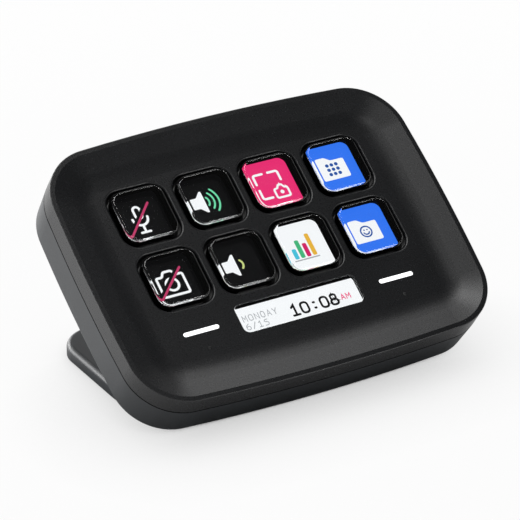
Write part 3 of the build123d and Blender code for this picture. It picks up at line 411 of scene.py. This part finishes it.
class KeypadSizes(bpy.types.PropertyGroup):
    """Sizes and glow of the lit pictures, and the size of the floor"""
    picture_width: bpy.props.FloatProperty(
        name="Picture width", description="Width of the picture under each key",
        unit="LENGTH", default=14.4 * MM, min=4 * MM, max=17 * MM)
    picture_height: bpy.props.FloatProperty(
        name="Picture height", description="Height of the picture under each key",
        unit="LENGTH", default=15.2 * MM, min=4 * MM, max=17 * MM)
    picture_radius: bpy.props.FloatProperty(
        name="Picture corner", description="Corner radius of the picture under each key",
        unit="LENGTH", default=2.2 * MM, min=0.2 * MM, max=6 * MM)
    picture_rise: bpy.props.FloatProperty(
        name="Picture rise", description="Middle of each picture above the middle of its key",
        unit="LENGTH", default=FRAME_RISE, min=-2 * MM, max=2 * MM)
    strip_width: bpy.props.FloatProperty(
        name="Strip width", description="Width of the lit area of the narrow display",
        unit="LENGTH", default=36.8 * MM, min=10 * MM, max=37.6 * MM)
    strip_height: bpy.props.FloatProperty(
        name="Strip height", description="Height of the lit area of the narrow display",
        unit="LENGTH", default=7.44 * MM, min=3 * MM, max=9.8 * MM)
    floor_size: bpy.props.FloatProperty(
        name="Floor size", description="Width of the round studio floor",
        unit="LENGTH", default=6.0, min=1, max=20)
    glow: bpy.props.FloatProperty(
        name="Glow", description="Strength of the lit pictures",
        default=1.07, min=0, max=4)
    strip_glow: bpy.props.FloatProperty(
        name="Narrow display glow", description="Strength of the narrow display's picture",
        default=1.09, min=0, max=4)
    bar_glow: bpy.props.FloatProperty(
        name="Bar glow", description="Strength of the light in the touch bars",
        default=1.3, min=0, max=6)


# ------ finishes
def moulded(name, colour, lighter, roughness, grain, seam=None, **sockets):
    """Finish of a moulded, rolled or cut surface: a faint tone drift, a fine grain, given by
    its size and depth in millimetres, and a roughness that follows it.

    With seam, a level over the panel, painted shade darkens the edge at that level like a deep
    groove."""
    material, tree, coordinates = start_material(name)
    size, depth = grain
    tone, rough, fine = uneven(tree, coordinates, DRIFT_SIZE, (colour, lighter), size, roughness)
    bump = add_node(tree, "ShaderNodeBump", inputs={"Distance": depth * MM},
                    links={"Height": fine})
    shader = add_node(
        tree, "ShaderNodeBsdfPrincipled",
        inputs={socket.replace("_", " "): value for socket, value in sockets.items()},
        links={"Base Color": tone, "Roughness": rough, "Normal": bump})
    if seam is not None:
        # Painted shade along the parting line.
        gap_shade = add_node(tree, "ShaderNodeBsdfDiffuse", inputs={"Color": opaque(linear("060606"))})
        level = add_node(tree, "ShaderNodeVectorMath", operation="DOT_PRODUCT",
                         inputs={1: OUT}, links={0: coordinates})
        off = add_node(tree, "ShaderNodeMath", operation="SUBTRACT", inputs={1: seam},
                       links={0: level.outputs["Value"]})
        span = add_node(tree, "ShaderNodeMath", operation="ABSOLUTE", links={0: off})
        edge = add_node(tree, "ShaderNodeMath", operation="LESS_THAN", inputs={1: SEAM_SHADE_REACH},
                        links={0: span})
        shader = add_node(tree, "ShaderNodeMixShader", links={0: edge, 1: shader, 2: gap_shade})
    finish_material(tree, shader)
    return material


def metal(name, colour, lighter, roughness, grain_size):
    """Metal with a fine drawn or plated grain, its size in millimetres."""
    return moulded(name, colour, lighter, roughness, (grain_size, 0.004), Metallic=1.0)


def lit(name, colour, glow):
    """Lit display dots: the colour shines out, faintly uneven from dot to dot."""
    material, tree, coordinates = start_material(name)
    # The real dots are 0.08 mm apart; they are drawn 0.3 mm apart so that they show.
    tone, rough, _ = uneven(tree, coordinates, DOT_PITCH, (colour, toned(colour, FAINT)),
                            DOT_PITCH, (0.28, 0.32))
    shader = add_node(
        tree, "ShaderNodeBsdfPrincipled",
        inputs={"Base Color": opaque(linear("0A0A0A")), "Specular IOR Level": 0.1,
                "Emission Strength": glow},
        links={"Emission Color": tone, "Roughness": rough})
    finish_material(tree, shader)
    return material


def lit_palette(context, prefix, names, glow):
    """Lit materials, by the names of their colours."""
    colours = context.scene.keypad_colours
    return {name: lit(f"{prefix}_{name}", getattr(colours, f"lit_{name}"), glow)
            for name in names}


def clear_moulding(name, tint, roughness, framed_and_shaded):
    """Polished clear moulding: bright edges, sharp reflections, a trace of flow marks.

    Its side walls and flange are black. They gleam from outside, and inside they
    swallow what would shine along the walls. A key cap may also get black upper and right
    edges, which are painted shade, and a black frame round its underside."""
    material, tree, coordinates = start_material(name)
    tone, rough, _ = uneven(
        tree, coordinates, FLOW_MARK, (tint, toned(tint, FAINT)), FLOW_MARK, roughness)
    acrylic = add_node(
        tree, "ShaderNodeBsdfPrincipled",
        inputs={"Transmission Weight": 1.0, "IOR": ACRYLIC_IOR},
        links={"Base Color": tone, "Roughness": rough})
    black_tone, rough, _ = uneven(tree, coordinates, 3, (linear("050505"), linear("070707")),
                             grain_size=0.5, roughness=(0.13, 0.18))
    outer, inner = [
        add_node(tree, "ShaderNodeBsdfPrincipled", inputs={"Specular IOR Level": gloss},
                 links={"Base Color": black_tone, "Roughness": rough})
        for gloss in BLACK_GLOSS
    ]
    inside = add_node(tree, "ShaderNodeNewGeometry").outputs["Backfacing"]
    coat = add_node(tree, "ShaderNodeMixShader", links={0: inside, 1: outer, 2: inner})
    area = black_and_shade_mask(tree, coordinates, inside, framed_and_shaded)
    shader = add_node(tree, "ShaderNodeMixShader", links={0: area, 1: acrylic, 2: coat})
    finish_material(tree, shader)
    return material


def black_and_shade_mask(tree, coordinates, inside, framed_and_shaded):
    """Mask of the black side walls and flange and, when asked, of a key cap's upper and right
    edges, which are painted shade, and of the black frame round its underside."""
    normal = add_node(tree, "ShaderNodeTexCoord").outputs["Normal"]
    spots, leans = [
        [add_node(tree, "ShaderNodeVectorMath", operation="DOT_PRODUCT", inputs={1: axis},
                  links={0: source}).outputs["Value"] for axis in AXES]
        for source in (coordinates, normal)
    ]
    # Seen from inside the moulding a normal is turned round; this turns it back.
    turn = add_node(tree, "ShaderNodeMath", operation="MULTIPLY_ADD", inputs={1: -2.0, 2: 1.0},
                    links={0: inside})
    leans = [
        add_node(tree, "ShaderNodeMath", operation="MULTIPLY", links={0: turn, 1: lean})
        for lean in leans
    ]
    slant = add_node(tree, "ShaderNodeMath", operation="ABSOLUTE", links={0: leans[2]})
    walls = add_node(tree, "ShaderNodeMath", operation="LESS_THAN", inputs={1: BLACK_WALL_SLANT},
                     links={0: slant})
    upward = add_node(tree, "ShaderNodeMath", operation="GREATER_THAN",
                      inputs={1: BLACK_FACING}, links={0: leans[2]})
    deep = add_node(tree, "ShaderNodeMath", operation="LESS_THAN",
                    inputs={1: FACE_LEVEL - BLACK_FLANGE_DEPTH}, links={0: spots[2]})
    flange = add_node(tree, "ShaderNodeMath", operation="MULTIPLY", links={0: deep, 1: upward})
    areas = [walls, flange]
    if framed_and_shaded:
        # A key cap's upper and right edges are black as painted shade.
        areas += [
            add_node(tree, "ShaderNodeMath", operation="GREATER_THAN", inputs={1: PAINTED_SHADE_LEAN},
                     links={0: lean})
            for lean in leans[:2]
        ]
        downward = add_node(tree, "ShaderNodeMath", operation="LESS_THAN",
                            inputs={1: -BLACK_FACING}, links={0: leans[2]})
        first, beside, below = [node_middle(f"key_contact_ring_{n}") for n in (1, 2, 5)]
        # The frame repeats from key to key: each place is taken from the middle of its own.
        for spot, middle, pitch, reach in (
                (spots[0], first.x, beside.x - first.x, FRAME_REACH[0]),
                (spots[1], first.y + FRAME_RISE, first.y - below.y, FRAME_REACH[1])):
            own = add_node(tree, "ShaderNodeMath", operation="WRAP",
                           inputs={1: middle + pitch / 2, 2: middle - pitch / 2},
                           links={0: spot})
            off = add_node(tree, "ShaderNodeMath", operation="SUBTRACT", inputs={1: middle},
                           links={0: own})
            span = add_node(tree, "ShaderNodeMath", operation="ABSOLUTE", links={0: off})
            outer = add_node(tree, "ShaderNodeMath", operation="GREATER_THAN",
                             inputs={1: reach}, links={0: span})
            areas.append(add_node(tree, "ShaderNodeMath", operation="MULTIPLY",
                                  links={0: outer, 1: downward}))
    whole = areas[0]
    for area in areas[1:]:
        whole = add_node(tree, "ShaderNodeMath", operation="MAXIMUM", links={0: whole, 1: area})
    return whole


# ------ operators
class KEYPAD_OT_stage(bpy.types.Operator):
    """Sets up the camera, the soft lamps, the world and the pale floor"""
    bl_idname = "keypad.stage"
    bl_label = "Studio"

    def execute(self, context):
        scene = context.scene
        lens = bpy.data.cameras.new("studio_camera")
        lens.lens = LENS_LENGTH
        lens.sensor_width = SENSOR_WIDTH
        lens.clip_start, lens.clip_end = CLIP_DISTANCES
        camera = bpy.data.objects.new("studio_camera", lens)
        context.collection.objects.link(camera)
        camera.location = CAMERA_PLACE
        way = CAMERA_AIM - CAMERA_PLACE
        camera.rotation_euler = way.to_track_quat("-Z", "Y").to_euler()
        scene.camera = camera
        scene.view_settings.view_transform = "Standard"

        middle = place(0, 0, 0)
        for name, way, distance, width, height, power in LAMPS:
            data = bpy.data.lights.new(name, "AREA")
            data.shape = "RECTANGLE"
            data.size = width
            data.size_y = height
            data.energy = power
            lamp = bpy.data.objects.new(name, data)
            context.collection.objects.link(lamp)
            way = Vector(way).normalized()
            lamp.location = middle + way * distance
            lamp.rotation_euler = (-way).to_track_quat("-Z", "Y").to_euler()

        world = bpy.data.worlds.new("studio_world")
        world.use_nodes = True
        tree = world.node_tree
        tree.nodes.clear()
        dim = add_node(tree, "ShaderNodeBackground",
                       inputs={"Color": opaque(linear("FFFFFF")), "Strength": WORLD_LEVEL})
        add_node(tree, "ShaderNodeOutputWorld", links={"Surface": dim})
        scene.world = world
        self.cove(context, scene.keypad_sizes.floor_size / 2)
        return {"FINISHED"}

    def cove(self, context, radius):
        """Round floor whose rim curves up into a low wall, all in one sheet of paper."""
        profile = [(ring, 0.0) for ring in COVE_RINGS]
        profile += arc(radius - COVE_BEND, COVE_BEND, COVE_BEND, -90, 0, COVE_BEND_STEPS)
        profile.append((radius, COVE_WALL))
        mesh = bmesh.new()
        centre = mesh.verts.new((0, 0, 0))
        loops = [
            [mesh.verts.new((x, y, height)) for x, y in circle(0, 0, ring, COVE_SIDES)]
            for ring, height in profile
        ]
        for i in range(COVE_SIDES):
            j = (i + 1) % COVE_SIDES
            mesh.faces.new((centre, loops[0][i], loops[0][j]))
            for low, high in zip(loops, loops[1:]):
                mesh.faces.new((low[i], high[i], high[j], low[j]))
        data = bpy.data.meshes.new("studio_cove")
        mesh.to_mesh(data)
        mesh.free()
        data.materials.append(self.paper())
        for polygon in data.polygons:
            polygon.use_smooth = True
        cove = bpy.data.objects.new("studio_cove", data)
        context.collection.objects.link(cove)
        cove.location.z = -COVE_DROP

    def paper(self):
        """Matt white background paper: it stays white and keeps the soft shadow."""
        material, tree, coordinates = start_material("matt_white_background_paper")
        path = add_node(tree, "ShaderNodeLightPath").outputs
        seen = path["Is Camera Ray"]
        for ray in ("Is Glossy Ray", "Is Transmission Ray"):
            seen = add_node(tree, "ShaderNodeMath", operation="MAXIMUM",
                            links={0: seen, 1: path[ray]})
        away = add_node(tree, "ShaderNodeVectorMath", operation="LENGTH", links={0: coordinates})
        share = add_node(
            tree, "ShaderNodeMapRange",
            inputs={"From Min": PAPER_DISTANCES[0], "From Max": PAPER_DISTANCES[1],
                    "To Min": PAPER_SHARE, "To Max": 1.0},
            links={"Value": away.outputs["Value"]})
        factor = add_node(tree, "ShaderNodeMath", operation="MULTIPLY",
                          links={0: seen, 1: share})
        tone, rough, _ = uneven(tree, coordinates, 20, (linear("F4F4F4"), linear("F7F7F7")),
                                grain_size=2, roughness=(0.8, 1.0))
        matt = add_node(tree, "ShaderNodeBsdfDiffuse", links={"Color": tone, "Roughness": rough})
        # Reflections see the deep shade below the casing, the camera only its soft edge.
        corner = add_node(tree, "ShaderNodeAmbientOcclusion", samples=8,
                          inputs={"Distance": SHADOW_REACH})
        depth = add_node(tree, "ShaderNodeMapRange",
                         inputs={"To Min": SHADOW_DEPTHS[0], "To Max": SHADOW_DEPTHS[1]},
                         links={"Value": path["Is Glossy Ray"]})
        shade = add_node(tree, "ShaderNodeMath", operation="POWER",
                         links={0: corner.outputs["AO"], 1: depth})
        bright = add_node(tree, "ShaderNodeEmission", links={"Strength": shade},
                          inputs={"Color": opaque(linear("FFFFFF"))})
        mix = add_node(tree, "ShaderNodeMixShader", links={0: factor, 1: matt, 2: bright})
        finish_material(tree, mix)
        return material


class KEYPAD_OT_casing(bpy.types.Operator):
    """Finishes the two moulded halves of the casing"""
    bl_idname = "keypad.casing"
    bl_label = "Casing"

    def execute(self, context):
        colours = context.scene.keypad_colours
        front, rear = colours.front_plastic, colours.rear_plastic
        # Both halves are darkened along their parting line by painted shade.
        seam = FACE_LEVEL - SEAM_DEPTH
        # Black ABS moulded in a spark-eroded tool: satin, with soft wide highlights. The real
        # grain is 0.1 mm; it is drawn at 0.35 mm so that it shows.
        dress(moulded(
            "black_abs_satin_moulded", front, toned(front, 1.3), roughness=(0.27, 0.29),
            grain=(0.35, 0.0002), seam=seam), "front_shell")
        # Dark grey ABS from a coarser tool: duller, with broader highlights.
        dress(moulded(
            "graphite_abs_satin_moulded", rear, toned(rear, 1.25), roughness=(0.36, 0.44),
            grain=(0.35, 0.0006), seam=seam), "rear_shell")
        return {"FINISHED"}


class KEYPAD_OT_keys(bpy.types.Operator):
    """Finishes the eight clear keys, their contact rings and their mat"""
    bl_idname = "keypad.keys"
    bl_label = "Keys"

    def execute(self, context):
        tint = context.scene.keypad_colours.clear_plastic
        # Clear acrylic from a polished tool, black round its sides: glass-like, with edges that
        # catch the light, a deep black frame and painted shade on its upper and right edges.
        clear = clear_moulding(
            "clear_acrylic_polished_black_sided", tint, roughness=(0.015, 0.03), framed_and_shaded=True)
        dress(clear, *[f"key_cap_{number}" for number in KEY_NUMBERS])
        # Black silicone rubber, moulded matt: swallows the light round each picture.
        rubber = moulded(
            "black_silicone_matt_moulded", linear("0C0C0D"), linear("111112"),
            roughness=(0.6, 0.7), grain=(0.4, 0.002))
        dress(rubber, "key_mat", *[f"key_contact_ring_{number}" for number in KEY_NUMBERS])
        return {"FINISHED"}


class KEYPAD_OT_pictures(bpy.types.Operator):
    """Lights the eight pictures under the keys"""
    bl_idname = "keypad.pictures"
    bl_label = "Key pictures"

    # In millimetres, like all the drawings, each about the middle of its key's picture.
    THICKNESS = 0.01
    LINE = 0.68
    BAR_LINE = 0.62
    MARGIN_LINE = 0.95
    MARGIN_SHIFT = 0.42

    def execute(self, context):
        sizes = context.scene.keypad_sizes
        # What each key shows, with the colours that it takes; the first is the ground.
        drawings = (
            (self.microphone, ("black", "white", "rose")),
            (self.loud, ("black", "white", "green")),
            (self.capture, ("pink", "white")),
            (self.folder, ("blue", "white", "deep_blue")),
            (self.camera, ("black", "white", "rose")),
            (self.quiet, ("black", "white", "lime")),
            (self.chart, ("white", "grey", "cyan", "leaf", "crimson", "amber")),
            (self.smiling_folder, ("blue", "white", "deep_blue")),
        )
        names = dict.fromkeys(tint for _, tints in drawings for tint in tints)
        palette = lit_palette(context, "lit_display", names, sizes.glow)
        level = panel_place("key_display_glass")[2]
        ground = rounded_box(0, 0, sizes.picture_width / MM, sizes.picture_height / MM,
                             sizes.picture_radius / MM)
        for number, (draw, tints) in zip(KEY_NUMBERS, drawings):
            x, y, _ = panel_place(f"key_contact_ring_{number}")
            picture = Picture(x, y + sizes.picture_rise / MM, level, self.THICKNESS,
                              {tint: palette[tint] for tint in tints})
            picture.fill(ground, GROUND, tints[0])
            draw(picture)
            picture.make(f"key_picture_{number}")
        return {"FINISHED"}

    def crossing(self, picture, points):
        """Bar across a muted picture, with a dark margin."""
        margin = [(x - self.MARGIN_SHIFT, y + self.MARGIN_SHIFT) for x, y in points]
        picture.line(margin, self.MARGIN_LINE, OVER, "black")
        picture.line(points, self.BAR_LINE, TOP, "rose")

    def microphone(self, picture):
        capsule = rounded_box(-0.1, 1.97, 1.9, 3.5, 0.94)
        picture.line(capsule, self.LINE, closed=True)
        picture.line(arc(-0.1, 0.36, 2.16, 180, 360), self.LINE)
        picture.line([(-0.1, -1.9), (-0.1, -3.8)], self.LINE)
        picture.line([(-1.36, -3.92), (1.21, -3.92)], self.LINE)
        self.crossing(picture, [(3.85, 4.15), (-4.79, -4.78)])

    def camera(self, picture):
        outline = [(-3.74, 2.12), (-2.0, 2.12), (-1.25, 3.47), (1.1, 3.47),
                   (1.85, 2.12), (3.8, 2.12), (3.8, -3.63), (-3.74, -3.63)]
        picture.line(round_corners(outline, 0.5), self.LINE, closed=True)
        picture.line(circle(-0.08, -0.47, 1.75), self.LINE, closed=True)
        self.crossing(picture, [(3.85, 3.81), (-4.79, -4.33)])

    def speaker(self, picture, lift):
        """Loudspeaker of the two sound pictures."""
        horn = [(-4.2, -1.45), (-2.3, -1.45), (-0.8, -2.95), (-0.25, -2.95),
                (-0.25, 3.5), (-0.8, 3.5), (-2.3, 1.85), (-4.2, 1.85)]
        horn = [(x, y + lift) for x, y in horn]
        picture.fill(round_corners(horn, 0.35))

    def loud(self, picture):
        """Loudspeaker with three sound waves."""
        self.speaker(picture, 0)
        for radius, reach in ((1.85, 40), (3.3, 45), (4.7, 44)):
            picture.line(arc(-0.95, 0.2, radius, -reach, reach), 0.52, MARK, "green")

    def quiet(self, picture):
        """Loudspeaker with one sound wave."""
        self.speaker(picture, -0.1)
        picture.line(arc(-0.05, 0.06, 1.6, -48, 48), 0.56, MARK, "lime")

    def capture(self, picture):
        """Three corners of a screen, and a small camera in place of the fourth."""
        left, right, top, bottom, arm = -3.69, 3.67, 4.01, -3.42, 2.8
        corners = (
            [(left, top - arm), (left, top), (left + arm, top)],
            [(right - arm, top), (right, top), (right, top - arm)],
            [(left, bottom + arm), (left, bottom), (left + arm, bottom)],
        )
        for corner in corners:
            picture.line(round_corners(corner, 0.7, closed=False), self.LINE)
        body = [(0.4, -1.19), (1.5, -1.19), (1.98, -0.15), (3.0, -0.15),
                (3.48, -1.19), (4.37, -1.19), (4.37, -3.98), (0.4, -3.98)]
        picture.line(round_corners(body, 0.6), 0.6, closed=True)
        picture.fill(circle(2.42, -2.42, 0.57))

    def folder_shape(self, picture, lift):
        shape = [(-4.07, -3.0), (4.15, -3.0), (4.15, 2.8), (0.25, 2.8), (-1.28, 4.01),
                 (-4.07, 4.01)]
        shape = [(x, y + lift) for x, y in shape]
        picture.fill(round_corners(shape, 0.6))

    def folder(self, picture):
        """Folder with a square of nine dots."""
        self.folder_shape(picture, 0.15)
        pitch = 1.39
        for column in (-1, 0, 1):
            for row in (-1, 0, 1):
                dot = circle(column * pitch, 0.2 + row * pitch, 0.53, 16)
                picture.fill(dot, OVER, "deep_blue")

    def smiling_folder(self, picture):
        """Folder with a plain smile."""
        self.folder_shape(picture, -0.2)
        x, y = 0.08, -0.12
        picture.line(circle(x, y, 1.58), 0.43, OVER, "deep_blue", closed=True)
        for offset in (-0.45, 0.45):
            picture.fill(circle(x + offset, y + 0.5, 0.22, 12), OVER, "deep_blue")
        picture.line(arc(x, y, 0.85, 200, 340, 12), 0.4, OVER, "deep_blue")

    def chart(self, picture):
        picture.line([(-3.6, -3.3), (3.6, -3.3)], 0.35, MARK, "grey")
        foot, width, corner = -2.8, 1.25, 0.35
        for x, height, colour in ((-2.7, 3.1, "cyan"), (-0.9, 5.4, "leaf"),
                                  (0.9, 4.1, "crimson"), (2.7, 6.6, "amber")):
            bar = rounded_box(x, foot + height / 2, width, height, corner, 4)
            picture.fill(bar, MARK, colour)


class KEYPAD_OT_narrow_display(bpy.types.Operator):
    """Finishes the display glass and the window, and lights the narrow display"""
    bl_idname = "keypad.narrow_display"
    bl_label = "Narrow display"

    # The lines of each sign on a box one unit wide and high, and whether each line is closed.
    SIGNS = {
        "M": (([(0, 0), (0, 1), (0.5, 0.4), (1, 1), (1, 0)], False),),
        "O": (([(0, 0), (1, 0), (1, 1), (0, 1)], True),),
        "N": (([(0, 0), (0, 1), (1, 0), (1, 1)], False),),
        "D": (([(0, 0), (0.95, 0), (0.95, 1), (0, 1)], True),),
        "A": (([(0, 0), (0.5, 1), (1, 0)], False), ([(0.2, 0.36), (0.8, 0.36)], False)),
        "Y": (([(0, 1), (0.5, 0.45), (1, 1)], False), ([(0.5, 0.45), (0.5, 0)], False)),
        "/": (([(0.05, -0.05), (0.95, 1.05)], False),),
        "0": (([(0, 0), (1, 0), (1, 1), (0, 1)], True),),
        "1": (([(0.12, 0.78), (0.5, 1), (0.5, 0)], False), ([(0.05, 0), (0.95, 0)], False)),
        "5": (([(0.92, 1), (0.12, 1), (0.08, 0.56), (1, 0.6), (1, 0), (0, 0)], False),),
        "6": (([(0, 0), (1, 0), (1, 0.58), (0, 0.58)], True),
              ([(0, 0.3), (0, 0.72), (0.75, 1)], False)),
        "8": (([(0, 0), (1, 0), (1, 0.52), (0, 0.52)], True),
              ([(0.12, 0.52), (0.88, 0.52), (0.88, 1), (0.12, 1)], True)),
        ":": (([(0.43, 0.2), (0.57, 0.2)], False), ([(0.43, 0.74), (0.57, 0.74)], False)),
    }
    ROUND_SIGNS = "O0568D"
    ROUNDING = 0.48
    # Words, left and bottom of the first sign, a sign's width and height, pitch, line, colour.
    WORDS = (
        ("MONDAY", -16.2, -0.36, 1.1, 1.65, 1.78, 0.22, "grey"),
        ("6/15", -16.2, -2.78, 1.1, 1.65, 1.78, 0.22, "grey"),
        ("10:08", -2.28, -2.3, 2.05, 3.0, 2.95, 0.62, "black"),
        ("AM", 12.7, -1.5, 1.1, 1.45, 1.6, 0.26, "pink"),
    )
    THICKNESS = 0.012
    GROUND_SHIFT = -0.1
    GROUND_CORNER = 0.15

    def write(self, picture, words, left, bottom, width, height, pitch, line, colour):
        """Writes words in a plain line font of even pitch."""
        for index, sign in enumerate(words):
            start = left + index * pitch
            for points, closed in self.SIGNS[sign]:
                path = [(start + x * width, bottom + y * height) for x, y in points]
                if sign in self.ROUND_SIGNS:
                    path = round_corners(path, width * self.ROUNDING, closed)
                picture.line(path, line, MARK, colour, closed)

    def execute(self, context):
        sizes = context.scene.keypad_sizes
        tint = context.scene.keypad_colours.clear_plastic
        # Smoked glass over the display modules: near black and glossy.
        glass = moulded(
            "black_display_glass_polished", linear("08080A"), linear("0A0A0C"),
            roughness=(0.1, 0.14), grain=(3, 0.0002))
        dress(glass, "info_display", "key_display_glass")
        # The same clear acrylic as the key caps, a little less polished.
        window = clear_moulding(
            "clear_acrylic_window_black_sided", tint, roughness=(0.02, 0.04), framed_and_shaded=False)
        dress(window, "info_window")
        palette = lit_palette(
            context, "lit_strip", ("white", "grey", "black", "pink"), sizes.strip_glow)
        x, y, level = panel_place("info_display")
        strip = Picture(x, y, level, self.THICKNESS, palette)
        ground = rounded_box(self.GROUND_SHIFT, 0, sizes.strip_width / MM,
                             sizes.strip_height / MM, self.GROUND_CORNER, 2)
        strip.fill(ground, GROUND, "white")
        for words in self.WORDS:
            self.write(strip, *words)
        strip.make("narrow_display_picture")
        return {"FINISHED"}


class KEYPAD_OT_touch_bars(bpy.types.Operator):
    """Finishes and lights the two touch bars"""
    bl_idname = "keypad.touch_bars"
    bl_label = "Touch bars"

    def execute(self, context):
        # Milky polycarbonate over small lights: a nearly even white glow.
        material, tree, coordinates = start_material("milky_polycarbonate_moulded")
        tone, rough, _ = uneven(tree, coordinates, 3, (linear("FFFFFF"), linear("FAFCFF")),
                                grain_size=1, roughness=(0.42, 0.48))
        shader = add_node(
            tree, "ShaderNodeBsdfPrincipled",
            inputs={"Base Color": opaque(linear("F2F3F2")),
                    "Emission Strength": context.scene.keypad_sizes.bar_glow},
            links={"Emission Color": tone, "Roughness": rough})
        finish_material(tree, shader)
        dress(material, "touch_light_bar_left", "touch_light_bar_right")
        return {"FINISHED"}


class KEYPAD_OT_stand(bpy.types.Operator):
    """Finishes the foot, its weight and its pad"""
    bl_idname = "keypad.stand"
    bl_label = "Stand"

    def execute(self, context):
        rear = context.scene.keypad_colours.rear_plastic
        # The same dark grey ABS as the rear half, without its parting line.
        dress(moulded(
            "graphite_abs_stand_moulded", rear, toned(rear, 1.25), roughness=(0.36, 0.44),
            grain=(0.35, 0.0006)), "stand_shell")
        # Rubber sheet, cut: matt and slightly dusty.
        dress(moulded(
            "black_rubber_sheet_cut", linear("151515"), linear("1C1C1C"),
            roughness=(0.75, 0.9), grain=(0.8, 0.01)), "desk_pad")
        # Zinc-plated steel sheet, stamped: pale, with a cloudy sheen.
        dress(metal(
            "zinc_plated_steel_stamped", linear("A9ADB0"), linear("B4B8BA"),
            roughness=(0.35, 0.5), grain_size=0.5), "ballast_plate")
        return {"FINISHED"}


class KEYPAD_OT_inner_parts(bpy.types.Operator):
    """Finishes the backlight, contact sheet, boards, ribbons and the inner frame"""
    bl_idname = "keypad.inner_parts"
    bl_label = "Inner parts"

    def execute(self, context):
        # Amber polyimide film over copper: satin, in the warm tone of the copper below.
        film = moulded("amber_polyimide_film", linear("B5651D"), linear("C47A2C"),
                       roughness=(0.35, 0.5), grain=(1.5, 0.002))
        dress(film, "key_display_ribbon", "info_display_ribbon", "touch_ribbon_left",
              "touch_ribbon_right")
        # Black covering film over the key contacts: it shows as part of each dark frame.
        dress(moulded(
            "black_polyimide_cover_film", linear("0A0A0B"), linear("0D0D0E"),
            roughness=(0.45, 0.55), grain=(1.5, 0.001)), "key_contact_sheet")
        # White reflector film round the backlight: bright and even.
        dress(moulded(
            "white_pet_film", linear("E4E6E6"), linear("EEF0F0"),
            roughness=(0.4, 0.5), grain=(2, 0.001)), "key_display_backlight")
        # Rolled stainless sheet: a fine grey sheen.
        dress(metal(
            "rolled_stainless_sheet", linear("9C9FA3"), linear("A8ABAF"),
            roughness=(0.3, 0.42), grain_size=0.4), "inner_frame")
        # Glass-fibre board under solder mask: deep green, with an uneven gloss.
        board = moulded("green_solder_mask_on_glass_fibre", linear("0E3B22"), linear("14502E"),
                        roughness=(0.3, 0.45), grain=(0.6, 0.01))
        dress(board, "main_board", "touch_board_left", "touch_board_right")
        # Moulded epoxy of the chips: dark grey and matt.
        chip = moulded("dark_epoxy_chip_moulded", linear("1B1B1C"), linear("232324"),
                       roughness=(0.55, 0.7), grain=(0.3, 0.004))
        dress(chip, "controller_chip", "memory_chip", "board_passives")
        # White moulded bodies of the small lights: smooth and a little warm.
        dress(moulded(
            "white_led_package_moulded", linear("E9E6DC"), linear("F3F0E6"),
            roughness=(0.35, 0.45), grain=(0.5, 0.001)), "touch_leds")
        # Undyed nylon of the ribbon sockets: cream and dull.
        dress(moulded(
            "cream_nylon_socket_moulded", linear("D8D2BF"), linear("E2DCCB"),
            roughness=(0.45, 0.55), grain=(0.5, 0.002)), "ribbon_sockets")
        return {"FINISHED"}


class KEYPAD_OT_socket(bpy.types.Operator):
    """Finishes the power and data socket"""
    bl_idname = "keypad.socket"
    bl_label = "Socket"

    def execute(self, context):
        # Deep-drawn steel, nickel plated: bright and faintly warm.
        dress(metal(
            "nickel_plated_steel_drawn", linear("B9B7B2"), linear("C6C4BF"),
            roughness=(0.18, 0.28), grain_size=0.4), "usb_socket_shell")
        # Black nylon of the tongue: dull.
        dress(moulded(
            "black_nylon_tongue_moulded", linear("101011"), linear("161617"),
            roughness=(0.45, 0.55), grain=(0.4, 0.002)), "usb_socket_tongue")
        return {"FINISHED"}


class KEYPAD_OT_screws(bpy.types.Operator):
    """Finishes all the screws"""
    bl_idname = "keypad.screws"
    bl_label = "Screws"

    def execute(self, context):
        # Steel, rolled and plated in black zinc: dark, with a soft metal sheen.
        black = metal("black_zinc_plated_steel_rolled", linear("2A2B2D"), linear("36373A"),
                      roughness=(0.3, 0.42), grain_size=0.3)
        dress(black, "case_screws", "frame_screws", "board_screws", "stand_screws",
              "ballast_screws")
        return {"FINISHED"}


class KEYPAD_PT_sidebar(bpy.types.Panel):
    """Lists the steps that finish the keypad"""
    bl_idname = "KEYPAD_PT_sidebar"
    bl_label = "Display keypad"
    bl_space_type = "VIEW_3D"
    bl_region_type = "UI"
    bl_category = "Keypad"

    def draw(self, context):
        column = self.layout.column()
        for operator in OPERATORS:
            column.operator(operator.bl_idname)
        for group in (context.scene.keypad_sizes, context.scene.keypad_colours):
            for name in group.__annotations__:
                column.prop(group, name)


OPERATORS = (
    KEYPAD_OT_stage, KEYPAD_OT_casing, KEYPAD_OT_keys, KEYPAD_OT_pictures,
    KEYPAD_OT_narrow_display, KEYPAD_OT_touch_bars, KEYPAD_OT_stand, KEYPAD_OT_inner_parts,
    KEYPAD_OT_socket, KEYPAD_OT_screws,
)
CLASSES = (KeypadColours, KeypadSizes) + OPERATORS + (KEYPAD_PT_sidebar,)


def register():
    for item in CLASSES:
        bpy.utils.register_class(item)
    bpy.types.Scene.keypad_sizes = bpy.props.PointerProperty(type=KeypadSizes)
    bpy.types.Scene.keypad_colours = bpy.props.PointerProperty(type=KeypadColours)


def unregister():
    del bpy.types.Scene.keypad_colours
    del bpy.types.Scene.keypad_sizes
    for item in reversed(CLASSES):
        bpy.utils.unregister_class(item)


def main():
    register()
    for operator in OPERATORS:
        group, name = operator.bl_idname.split(".")
        getattr(getattr(bpy.ops, group), name)()


if __name__ == "__main__":
    main()
